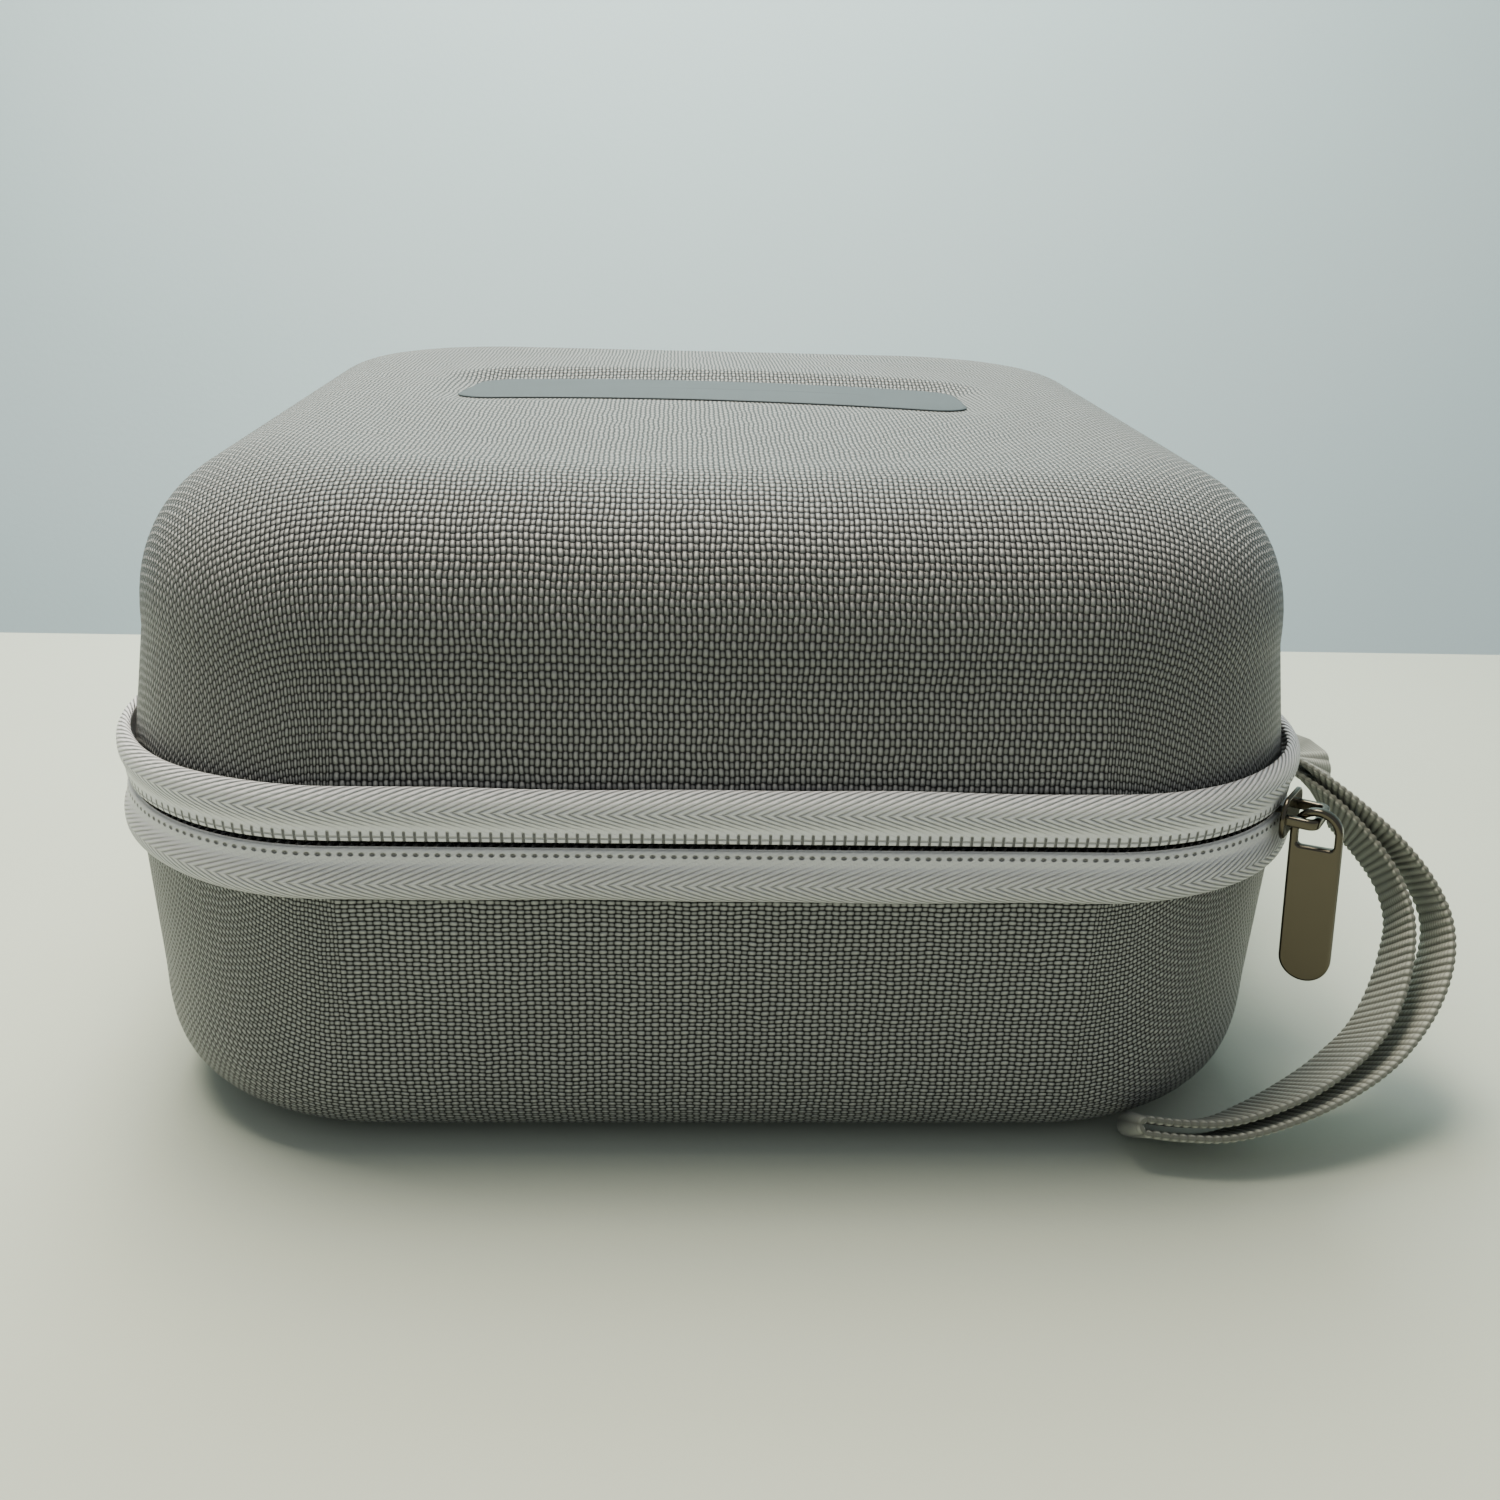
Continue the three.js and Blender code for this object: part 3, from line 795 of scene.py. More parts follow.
@dataclass
class HalfShell:
    """A moulded half of the case: tapering walls, a rounded edge and a flat or domed face."""

    case: CaseMeasures
    up: int
    draft: float
    rounding: float
    power: float
    face: float              # height of the flat face's edge
    dome: float = 0.0
    rim_gap: float = 2.6
    wall: float = 3.2
    outline: Outline = field(default_factory=Outline)

    def profile(
        self, depth: float, wall_rows: int = 16, edge_rows: int = 22,
    ) -> list[tuple[float, float, float]]:
        """The wall's section, from the rim to the edge of the flat face.

        Args:
            depth: How far under the outer face the surface lies.
            wall_rows: Rows on the straight wall.
            edge_rows: Rows round the rounded edge.

        Returns:
            Inset, height and distance back from the flat face's edge, row by row.
        """
        straight_end = self.face - self.up * self.rounding
        rows = []
        for step in range(wall_rows + 1):
            height = self.case.seam + self.up * self.rim_gap
            height += (straight_end - height) * step / wall_rows
            rows.append((self.draft * abs(height - self.case.seam) + depth, height))
        start = rows[-1][0]
        radius = self.rounding - depth
        for step in range(1, edge_rows + 1):
            angle = step / edge_rows * math.pi / 2
            across = max(math.cos(angle), 0.0) ** (2 / self.power) if step < edge_rows else 0.0
            along = math.sin(angle) ** (2 / self.power)
            rows.append((start + radius * (1 - across), straight_end + self.up * radius * along))
        path = [0.0]
        for (near, low), (far, high) in zip(rows[::-1], rows[-2::-1]):
            path.append(path[-1] + math.hypot(far - near, high - low))
        return [(inset, height, run) for (inset, height), run in zip(rows, path[::-1])]

    def ring(self, inset: float) -> tuple[np.ndarray, np.ndarray, np.ndarray]:
        """The shell's outline drawn in by an inset, with corners that tighten half as fast."""
        half_x, half_y = self.case.half_width - inset, self.case.half_length - inset
        return self.outline.columns(half_x, half_y, self.case.corner - inset / 2)

    def walls(self, depth: float) -> tuple[np.ndarray, np.ndarray]:
        """Grid of the walls from the rim to the flat face's edge, and the cloth that covers them.

        Args:
            depth: How far under the outer face the surface lies.

        Returns:
            Points, and cloth coordinates: the cloth is laid flat on the face and drawn down the
            walls, so its yarns run square on each side and crowd together round the corners.
        """
        profile = self.profile(depth)
        flat_inset = profile[-1][0]
        points = []
        cloth = []
        for inset, height, run in profile:
            ring, feet, ways = self.ring(inset)
            points.append(np.column_stack((ring, np.full(len(ring), height))))
            drawn = self.case.corner + (inset - 2 * flat_inset) / 2 + run
            cloth.append(feet + ways * drawn)
        return np.array(points), np.array(cloth)

    def face_height(self, x: np.ndarray, y: np.ndarray, depth: float) -> np.ndarray:
        """Height of the flat or domed face over a point."""
        inset = self.profile(depth)[-1][0]
        reach = np.hypot(x / (self.case.half_width - inset), y / (self.case.half_length - inset))
        return self.face - self.up * depth + self.up * self.dome * (1 - np.minimum(reach, 1) ** 2)

    def plain_face(self, depth: float, rows: int = 9) -> tuple[np.ndarray, np.ndarray]:
        """Rings of the face from its edge to its middle, without the edge itself.

        Args:
            depth: How far under the outer face it lies.
            rows: How many rings.

        Returns:
            Points and cloth coordinates.
        """
        inset = self.profile(depth)[-1][0]
        edge = self.ring(inset)[0]
        centre_cap = 0.2         # share of a row that the last ring leaves open, for the cap to fill
        points = []
        for step in range(1, rows + 1):
            ring = edge * (1 - step / (rows + centre_cap))
            height = self.face_height(ring[:, 0], ring[:, 1], depth)
            points.append(np.column_stack((ring, height)))
        grid = np.array(points)
        return grid, grid[:, :, :2]

    def build(self, name: str, outer: float, inner: float, finish: bpy.types.Material,
              face: tuple[np.ndarray, np.ndarray] | None = None) -> bpy.types.Object:
        """Makes the closed bowl between two depths.

        Args:
            name: The object's name.
            outer: Depth of its outer side.
            inner: Depth of its inner side.
            finish: Its material.
            face: The outer face's rings, where it isn't plain.

        Returns:
            The linked object.
        """
        walls, wall_cloth = self.walls(outer)
        face_grid, face_cloth = face or self.plain_face(outer)
        inside, inside_cloth = self.walls(inner)
        inside_face, inside_face_cloth = self.plain_face(inner)
        grid = np.concatenate((face_grid[::-1], walls[::-1], inside, inside_face))
        cloth = np.concatenate((face_cloth[::-1], wall_cloth[::-1], inside_cloth, inside_face_cloth))
        cloth = np.concatenate((cloth, cloth[:, :1]), axis=1)
        return surface(name, grid, finish, cloth, capped=True)


@dataclass
class Badge:
    """The blank badge and the shallow recess in the lid that holds it, deepest at its far edge."""

    shell: HalfShell
    outline: Outline
    near_depth: float = 0.5
    far_depth: float = 2.1
    lip: float = 7.5
    thickness: float = 0.35
    corner: float = 15.0
    skew: float = -3.5       # degrees that the moulded recess is turned from square
    centre_cap: float = 0.6  # half width of the strip in the middle that the last ring leaves

    def __post_init__(self) -> None:
        """Reads the badge's place from the frame."""
        low, high = box_mm("lid_badge")
        self.middle = (low + high)[:2] / 2
        self.half = (high - low)[:2] / 2 + self.lip

    def depth(self, y: np.ndarray) -> np.ndarray:
        """How deep the recess is at a distance from the front."""
        share = np.clip((y - self.middle[1]) / self.half[1] / 2 + 0.5, 0, 1)
        return self.near_depth + (self.far_depth - self.near_depth) * ease(share)

    def ring(self, inset: float, drop: float) -> np.ndarray:
        """One ring of the recess.

        Args:
            inset: How far inside the recess's outline.
            drop: Share of the full depth.

        Returns:
            Its points.
        """
        radius = max(self.corner - inset, 0.4)
        square = self.outline.columns(self.half[0] - inset, self.half[1] - inset, radius)[0]
        turn = math.radians(self.skew)
        turned = square @ np.array([[math.cos(turn), math.sin(turn)], [-math.sin(turn), math.cos(turn)]])
        flat = turned + self.middle
        height = self.shell.face_height(flat[:, 0], flat[:, 1], 0.0) - drop * self.depth(flat[:, 1])
        return np.column_stack((flat, height))

    def face_rings(self) -> tuple[np.ndarray, np.ndarray]:
        """The lid's face from its edge to the middle of the recess, for the shell's outer side."""
        inset = self.shell.profile(0.0)[-1][0]
        edge = self.shell.ring(inset)[0]
        brink = self.ring(0.0, 0.0)[:, :2]
        rows = []
        flat_rows, slope_rows, floor_rows = 18, 8, 7
        for step in range(1, flat_rows):
            flat = edge + (brink - edge) * step / flat_rows
            rows.append(np.column_stack((flat, self.shell.face_height(flat[:, 0], flat[:, 1], 0.0))))
        for step in range(slope_rows + 1):
            share = step / slope_rows
            rows.append(self.ring(self.lip * share, ease(share)))
        for step in range(1, floor_rows + 1):
            inset = self.lip + (self.half[1] - self.lip - self.centre_cap) * step / floor_rows
            rows.append(self.ring(inset, 1.0))
        grid = np.array(rows)
        return grid, grid[:, :, :2]

    def build(self, finish: bpy.types.Material) -> bpy.types.Object:
        """Makes the badge: a thin plate with a pressed, rounded edge that follows the recess."""
        rows = []
        inner = self.half[1] - 0.8
        section = (
            (inner, 0.02), (self.lip, 0.02), (self.lip - 0.1, 0.6), (self.lip + 0.15, 0.92),
            (self.lip + 0.6, 1.0), (inner, 1.0),
        )
        for inset, lift in section:
            ring = self.ring(inset, 1.0)
            ring[:, 2] += lift * self.thickness
            rows.append(ring)
        grid = np.array(rows)
        cloth = np.concatenate((grid[:, :, :2], grid[:, :1, :2]), axis=1)
        return surface("badge_plate", grid, finish, cloth, capped=True)


# ------------------------------------------------------------------ seam
@dataclass
class SeamPath:
    """The line of the seam round the case, from the back's left end by the front to its right end."""

    case: CaseMeasures
    end: float = 54.0
    closed: bool = False

    def __post_init__(self) -> None:
        """Lists the path's knots: centres and directions are straight-line functions of distance."""
        case = self.case
        inner = (case.half_width - case.corner, case.half_length - case.corner)
        back = inner[0] if self.closed else self.end
        turns = (((-1, 1), 90), ((-1, -1), 180), ((1, -1), 270), ((1, 1), 360))
        self.feet = [(-back, inner[1])]
        self.angles = [90.0]
        self.runs = [0.0]
        for (side_x, side_y), start in turns:
            foot = (side_x * inner[0], side_y * inner[1])
            straight = math.dist(self.feet[-1], foot)
            self.feet += [foot, foot]
            self.angles += [start, start + 90]
            self.runs += [self.runs[-1] + straight, self.runs[-1] + straight + case.corner * math.pi / 2]
        last = (-back, inner[1]) if self.closed else (back, inner[1])
        self.runs.append(self.runs[-1] + math.dist(self.feet[-1], last))
        self.feet.append(last)
        self.angles.append(450.0)
        self.length = self.runs[-1]

    def at(self, run: np.ndarray, reach: np.ndarray | float) -> np.ndarray:
        """Places beside the seam.

        Args:
            run: Distances along the path.
            reach: Distances outwards from the rim.

        Returns:
            One row of x and y per distance.
        """
        feet = np.array(self.feet)
        angle = np.radians(np.interp(run, self.runs, self.angles))
        radius = self.case.corner + reach
        x = np.interp(run, self.runs, feet[:, 0]) + radius * np.cos(angle)
        y = np.interp(run, self.runs, feet[:, 1]) + radius * np.sin(angle)
        return np.stack((x, y), axis=-1)

    def band(self, name: str, section: np.ndarray, up: int, finish: bpy.types.Material, step: float = 1.5,
             sway: float = 0.0) -> bpy.types.Object:
        """Sweeps a closed section along the path.

        Args:
            name: The object's name.
            section: Points of the section: reach outwards and rise from the seam.
            up: 1 above the seam, -1 below it.
            finish: Its material.
            step: Distance between sections.
            sway: How far the band waves up and down, as sewn cloth does.

        Returns:
            The linked object.
        """
        count = int(self.length / step)
        runs = np.linspace(0, self.length, count + 1)
        if self.closed:
            runs = runs[:-1]
        edge = np.concatenate((section, section[:1]))
        around = np.concatenate(([0.0], np.cumsum(np.hypot(*np.diff(edge, axis=0).T))))
        wave = sway * (np.sin(runs * 0.083) + 0.6 * np.sin(runs * 0.191 + 1.3))
        share = np.clip(section[:, 1] / section[:, 1].max(), 0, 1)
        rows = []
        for run, lift in zip(runs, wave):
            flat = self.at(np.full(len(section), run), section[:, 0])
            height = self.case.seam + up * (section[:, 1] + lift * share)
            rows.append(np.column_stack((flat, height)))
        grid = np.array(rows)
        mapped = np.concatenate((runs, [self.length])) if self.closed else runs
        cloth = np.stack(np.meshgrid(mapped, around, indexing="ij"), axis=-1)
        return surface(name, grid, finish, cloth, wrap_rows=self.closed, capped=not self.closed)


def smooth_section(points: list[tuple[float, float]], steps: int = 4) -> np.ndarray:
    """Rounds a closed section through its points.

    Args:
        points: The section's points.
        steps: How many points each span is cut into.

    Returns:
        The rounded section.
    """
    knots = np.array(points, float)
    count = len(knots)
    made = []
    for i in range(count):
        before, start, end, after = (knots[(i + k) % count] for k in (-1, 0, 1, 2))
        made += [between(before, start, end, after, step / steps) for step in range(steps)]
    return np.array(made)


@dataclass
class ZipChain:
    """The two tapes, their coils, the end stops and the cloth hinge that carries on behind."""

    case: CaseMeasures
    pitch: float = 1.55
    wire: float = 0.3
    coil_rise: float = 1.12  # from the seam to the middle of the turns
    coil_half_height: float = 0.7
    coil_reach: float = -0.75
    coil_half_depth: float = 0.42
    hinge_half: float = 50.5

    def tape_section(self) -> np.ndarray:
        """A tape's section: its sewn edge by the gap first, then its face, fold and back."""
        reach = self.case.tape_reach
        return smooth_section([
            (0.15, 0.66), (0.45, 0.6), (0.9, 0.68), (1.12, 1.5), (1.2, 2.6), (1.5, 3.6), (0.95 * reach, 4.8),
            (reach, 6.0), (0.92 * reach, 7.2), (0.7 * reach, 8.1), (0.35 * reach, 8.75), (0.1, 8.8),
            (-0.35, 8.2), (0.05, 6.0), (0.1, 3.0),
        ])

    def tapes(self, finishes: dict[int, bpy.types.Material]) -> None:
        """Makes both tapes.

        Args:
            finishes: Material of the upper (1) and lower (-1) tape.
        """
        path = SeamPath(self.case)
        for up, name, body in ((1, "upper", "lid"), (-1, "lower", "case")):
            tape = path.band(f"{name}_herringbone_tape", self.tape_section(), up, finishes[up], sway=0.12)
            place(tape, body, "zip_tape", f"{name}_zip_tape")

    def coil(self, up: int, finish: bpy.types.Material) -> bpy.types.Object:
        """Makes one half's coil: a wound wire that runs along the whole seam path.

        Args:
            up: 1 for the upper half, -1 for the lower.
            finish: Its material.

        Returns:
            The linked object.
        """
        path = SeamPath(self.case)
        per_turn = 10
        turns = int(path.length / self.pitch)
        steps = np.arange(turns * per_turn + 1)
        angle = steps / per_turn * 2 * math.pi
        runs = (steps / per_turn + (0.25 if up > 0 else 0.75)) / (turns + 1) * path.length
        flat = path.at(runs, self.coil_reach + self.coil_half_depth * np.sin(angle))
        rise = self.coil_rise + self.coil_half_height * np.cos(angle)
        line = np.column_stack((flat, self.case.seam + up * rise))
        way = np.gradient(line, axis=0)
        way /= np.linalg.norm(way, axis=1)[:, None]
        side = np.cross(way, np.array([0.0, 0.0, 1.0]))
        side /= np.maximum(np.linalg.norm(side, axis=1)[:, None], 1e-6)
        lift = np.cross(side, way)
        ring = [side * math.cos(a) + lift * math.sin(a) for a in np.radians((0, 72, 144, 216, 288))]
        grid = np.stack([line + self.wire * part for part in ring], axis=1)
        return surface(f"{'upper' if up > 0 else 'lower'}_coil_wire", grid, finish, capped=True)

    def stops(self, finish: bpy.types.Material) -> None:
        """Makes the crimped end stops, each a bevelled staple over the lower coil's end."""
        for name in ("zip_stop_left", "zip_stop_right"):
            low, high = box_mm(name)
            middle = (low + high) / 2
            half = (high - low) / 2
            axes = Matrix.Translation(Vector(middle) * MM) @ Matrix.Rotation(math.pi / 2, 4, "X")
            stop = plate(name + "_staple", [rounded(half[0], half[2], 0.5)], 2 * half[1], 0.35, axes, finish)
            place(stop, "case", "zip_metal", name)

    def hinge(self, finish: bpy.types.Material) -> None:
        """Makes the cloth hinge: one strip on the back, across the seam between case and lid."""
        half_height, fullest = 8.8, 4.8
        rises = np.linspace(-half_height, half_height, 45)
        away = np.abs(rises)
        bulge = self.case.tape_reach * (1 - np.abs((away - fullest) / (half_height - fullest)) ** 2.2)
        face = np.maximum(bulge, np.where(away > fullest, 0.15, 0.55 + 0.25 * away))
        x = np.linspace(-self.hinge_half, self.hinge_half, 70)
        rows = []
        for rise, reach in zip(rises, face):
            rows.append([(px, self.case.half_length + reach, self.case.seam + rise) for px in x])
        outer = np.array(rows)
        inner = outer.copy()
        inner[:, :, 1] = self.case.half_length - 0.35
        loop = np.concatenate((outer, inner[:, ::-1]), axis=1)
        run = np.concatenate((x, x[::-1], x[:1]))
        cloth = np.stack(np.meshgrid(rises, run, indexing="ij"), axis=-1)[:, :, ::-1]
        strip = surface("hinge_strip", loop, finish, cloth, capped=True)
        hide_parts("base_hinge_cloth", "lid_hinge_cloth")
        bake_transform(strip)
        log.info("hinge_strip bends between case and lid")

    def piping(self, finish: bpy.types.Material) -> None:
        """Makes the bound rims that cover the shells' raw edges inside."""
        path = SeamPath(self.case, closed=True)
        for up, name, body in ((1, "lid", "lid"), (-1, "base", "case")):
            section = smooth_section([
                (-6.7, 0.7), (-7.3, 0.5), (-7.9, 0.8), (-8.2, 2.4), (-8.0, 4.3), (-7.2, 4.5), (-6.6, 4.2),
                (-6.5, 2.4),
            ])
            rim = path.band(f"{name}_bound_rim", section, up, finish, step=2.5)
            place(rim, body, "piping", f"{name}_rim_piping")


# ------------------------------------------------------------------ slider and pull
@dataclass
class ZipSlider:
    """The slider on the near right corner, its bridge and the pull that hangs from it."""

    case: CaseMeasures
    bar: float = 7.3
    plate_in: float = 2.2
    plate_out: float = 3.0
    pull_lean: float = -3.4   # degrees that the pull hangs out from upright

    def __post_init__(self) -> None:
        """Finds the slider's own axes: out of the case, up, and along the zip towards the front."""
        axis = Vector(joint_named("pull_swing")["axis"]).normalized()
        self.along = axis
        self.out = Vector((0, 0, 1)).cross(axis).normalized()
        foot = Vector((self.case.half_width - self.case.corner, self.case.corner - self.case.half_length, 0))
        self.origin = foot + self.out * self.case.corner + Vector((0, 0, self.case.seam))

    def axes(self, x: Vector, y: Vector, z: Vector, shift: Vector) -> Matrix:
        """A plate's axes as a matrix in metres.

        Args:
            x: Where the plate's first axis points.
            y: Where its second axis points.
            z: Where its thickness points.
            shift: Its middle in the slider's own frame: out, up, along.

        Returns:
            The matrix.
        """
        matrix = Matrix((x, y, z)).transposed().to_4x4()
        middle = self.origin + self.out * shift.x + Vector((0, 0, shift.y)) + self.along * shift.z
        matrix.translation = middle * MM
        return matrix

    def build(self, finish: bpy.types.Material) -> None:
        """Makes the slider's pieces.

        Args:
            finish: The plated metal.
        """
        nose = np.array(arc(2.0, 0, 3.9, -62, 62) + arc(-2.6, 0, 3.2, 90, 270))
        thick = self.plate_out - self.plate_in
        upright = (
            ("slider_face", nose, thick, 0.3, self.plate_in + thick / 2, ("zip_slider",)),
            ("slider_back", rounded(5, 2.1, 1.5), 1.0, 0.25, -2.6, ()),
            ("slider_post", rounded(1.5, 0.1, 0.09), 4.6, 0.1, 0.1, ()),
        )
        up = Vector((0, 0, 1))
        for name, outline, thickness, bevel, out, nodes in upright:
            axes = self.axes(self.along, up, self.along.cross(up), Vector((out, 0, 0)))
            place(plate(name, [outline], thickness, bevel, axes, finish), "slider", "zip_metal", *nodes)
        place(self.bridge(finish), "slider", "zip_metal", "slider_bridge")
        place(self.pull(finish), "pull", "zip_metal", "zip_pull")

    def bridge(self, finish: bpy.types.Material) -> bpy.types.Object:
        """Makes the arch over the slider, drawn outwards and along the zip."""
        foot = 2.9
        outer = [
            (foot, -4.7), *arc(6.1, -2.9, 1.8, 270, 360, 6), *arc(6.1, 2.9, 1.8, 0, 90, 6), (foot, 4.7),
        ]
        inner = [(foot, 3.5)] + arc(5.9, 2.7, 0.8, 90, 0, 6) + arc(5.9, -2.7, 0.8, 0, -90, 6) + [(foot, -3.5)]
        up = Vector((0, 0, 1))
        return plate("slider_arch", [np.array(outer + inner)], 1.7, 0.4,
                     self.axes(self.out, self.along, up * -1, Vector((0, 0, 0))), finish)

    def pull(self, finish: bpy.types.Material) -> bpy.types.Object:
        """Makes the pull: a round-ended plate with a D-shaped window round the arch's bar."""
        low, high = box_mm("zip_pull")
        top = high[2] - self.case.seam
        bottom = low[2] - self.case.seam
        half = 4.0
        body = arc(0, top - half, half, 0, 180, 20) + arc(0, bottom + half, half, 180, 360, 20)
        window = arc(0, top - 1.2 - 2.8, 2.8, 0, 180, 16) + arc(-2.2, -3.5, 0.6, 180, 270, 4)
        window += arc(2.2, -3.5, 0.6, 270, 360, 4)
        lean = Quaternion(self.along, -math.radians(self.pull_lean))
        hang = Vector((self.bar, 0, 2.2))
        axes = self.axes(lean @ self.out, lean @ Vector((0, 0, 1)), self.along, hang)
        return plate("pull_tab", [np.array(body), np.array(window)], 1.6, 0.42, axes, finish)


# ------------------------------------------------------------------ wrist strap
@dataclass
class WristStrap:
    """One strip of ribbed webbing folded double: out of the seam, round in a bow and down to the table.

    Each row is a point on the strip's near edge and the way across it from there, in millimetres.
    """

    width: float = 13.0
    thickness: float = 1.35
    rib: float = 1.36
    across: tuple = (
        (0, 1, 0), (0.03, 0.94, -0.33), (0.06, 0.88, -0.47), (0.08, 0.86, -0.5), (0.08, 0.87, -0.48),
        (0.07, 0.9, -0.42), (0.05, 0.93, -0.36), (0.02, 0.94, -0.34), (0, 0.935, -0.35),
        (-0.02, 0.93, -0.37), (-0.03, 0.915, -0.4), (-0.04, 0.9, -0.43),
        (-0.03, 0.875, -0.48), (-0.01, 0.845, -0.53),
        (0, 0.84, -0.54), (0, 0.85, -0.53),
    )
    outer: tuple = (
        (101.2, -55, 54.2), (104.2, -59, 53.6), (107.8, -63.5, 51.9), (111.8, -68, 49.2), (116.4, -72, 45.3),
        (120.6, -75.2, 40.4), (123.3, -78.5, 35), (123.4, -82, 29.9),
        (121.1, -86, 24.6), (116.6, -90.2, 19.4),
        (109.6, -95, 15), (100.1, -99.5, 11.7), (90.5, -102.5, 9.4), (81.7, -103.8, 7.9), (74.5, -103.4, 7.7),
        (68.6, -102.4, 7.8),
    )
    inner: tuple = (
        (101.2, -55, 52), (103.7, -58.7, 51.3), (106.6, -62.7, 50), (110.2, -67, 47.1),
        (113.7, -70.7, 43.2), (116.4, -74.2, 38.7), (117.5, -78, 33.8), (116.6, -82, 28.5),
        (113.9, -86.5, 23.3), (109.6, -91, 19),
        (103.6, -95, 15.7), (96.2, -98.9, 13.2), (88.6, -101.4, 11.3),
        (81.2, -102.6, 9.9), (74.4, -102.2, 9.6),
        (68.6, -101.2, 9.7),
    )
    root: tuple = (97.4, -53.6, 54.2)
    fold_steps: int = 12
    steps_per_rib: int = 6

    def spline(self, rows: tuple, t: np.ndarray) -> np.ndarray:
        """Points of a smooth curve through some rows.

        Args:
            rows: The rows that it passes through.
            t: Places along it, from 0 to the last row's number.

        Returns:
            One point per place.
        """
        knots = np.array(rows, float)
        knots = np.concatenate((2 * knots[:1] - knots[1:2], knots, 2 * knots[-1:] - knots[-2:-1]))
        i = np.minimum(t.astype(int), len(rows) - 2)
        f = (t - i)[:, None]
        return between(knots[i], knots[i + 1], knots[i + 2], knots[i + 3], f)

    def strip(self) -> tuple[np.ndarray, np.ndarray]:
        """The strip's near edge and the way across it, at even steps from root to fold to root."""
        t = np.linspace(0, len(self.outer) - 1, 240)
        outer = self.spline(self.outer, t)
        inner = self.spline(self.inner, t)
        ways = self.spline(self.across, t)
        half = (inner[-1] - outer[-1]) / 2
        ahead = (outer[-1] - outer[-2]) / np.linalg.norm(outer[-1] - outer[-2]) * np.linalg.norm(half)
        angles = np.linspace(0, math.pi, self.fold_steps + 2)[1:-1, None]
        fold = outer[-1] + half * (1 - np.cos(angles)) + ahead * np.sin(angles)
        start = np.array([self.root])
        edge = np.concatenate((start, outer, fold, inner[::-1], start - (0, 0, 1.5)))
        over_fold = np.repeat(ways[-1:], len(fold), axis=0)
        across = np.concatenate((ways[:1], ways, over_fold, ways[::-1], ways[:1]))
        run = np.concatenate(([0.0], np.cumsum(np.linalg.norm(np.diff(edge, axis=0), axis=1))))
        even = np.arange(0, run[-1], self.rib / self.steps_per_rib)
        evened = [
            np.stack([np.interp(even, run, values[:, k]) for k in range(3)], axis=1)
            for values in (edge, across)
        ]
        return evened[0], evened[1]

    def build(self, finish: bpy.types.Material) -> None:
        """Makes the strap, with its ribs and scalloped edges in the mesh.

        Args:
            finish: The webbing.
        """
        edge, across = self.strip()
        way = np.gradient(edge, axis=0)
        way /= np.linalg.norm(way, axis=1)[:, None]
        across -= way * np.einsum("ij,ij->i", across, way)[:, None]
        across /= np.linalg.norm(across, axis=1)[:, None]
        normal = np.cross(way, across)
        run = np.arange(len(edge)) * self.rib / self.steps_per_rib
        ribs = np.abs(np.sin(math.pi * run / self.rib))
        places = np.array([0.0, 0.03, 0.1, 0.25, 0.5, 0.75, 0.9, 0.97, 1.0])
        round_off = np.array([0.45, 0.8, 1.0, 1.0, 1.0, 1.0, 1.0, 0.8, 0.45])
        loop = []
        mapped = []
        for side in (1, -1):
            order = range(len(places)) if side > 0 else range(len(places) - 1, -1, -1)
            for k in order:
                scallop = (0.28 * (ribs - 0.5) * np.sign(places[k] - 0.5)) if k in (0, 1, 7, 8) else 0 * ribs
                share = places[k] * self.width + scallop
                lift = side * (self.thickness / 2 - 0.22 * (1 - ribs)) * round_off[k]
                loop.append(edge + across * share[:, None] + normal * lift[:, None])
                mapped.append(np.stack((run, np.full(len(run), places[k] * self.width)), axis=1))
        grid = np.stack(loop, axis=1)
        cloth = np.stack(mapped + mapped[:1], axis=1)
        strap = surface("webbing_loop", grid, finish, cloth, capped=True)
        place(strap, "strap", "webbing", "wrist_strap")

    def sewn_root(self, finish: bpy.types.Material) -> None:
        """Makes the root: a folded patch of webbing sewn over the strap's ends."""
        low, high = box_mm("strap_anchor")
        middle = (low + high) / 2
        half = (high - low) / 2
        axes = Matrix.Translation(Vector(middle) * MM) @ Matrix.Rotation(math.pi / 2, 4, "Y")
        drawn_in = 0.8           # the stitched edge pulls the webbing in
        outline = rounded(half[2] * drawn_in, half[1] * drawn_in, 0.8)
        patch = plate("sewn_root_patch", [outline], 2 * half[0], 0.5, axes, finish)
        place(patch, "case", "webbing", "strap_anchor")


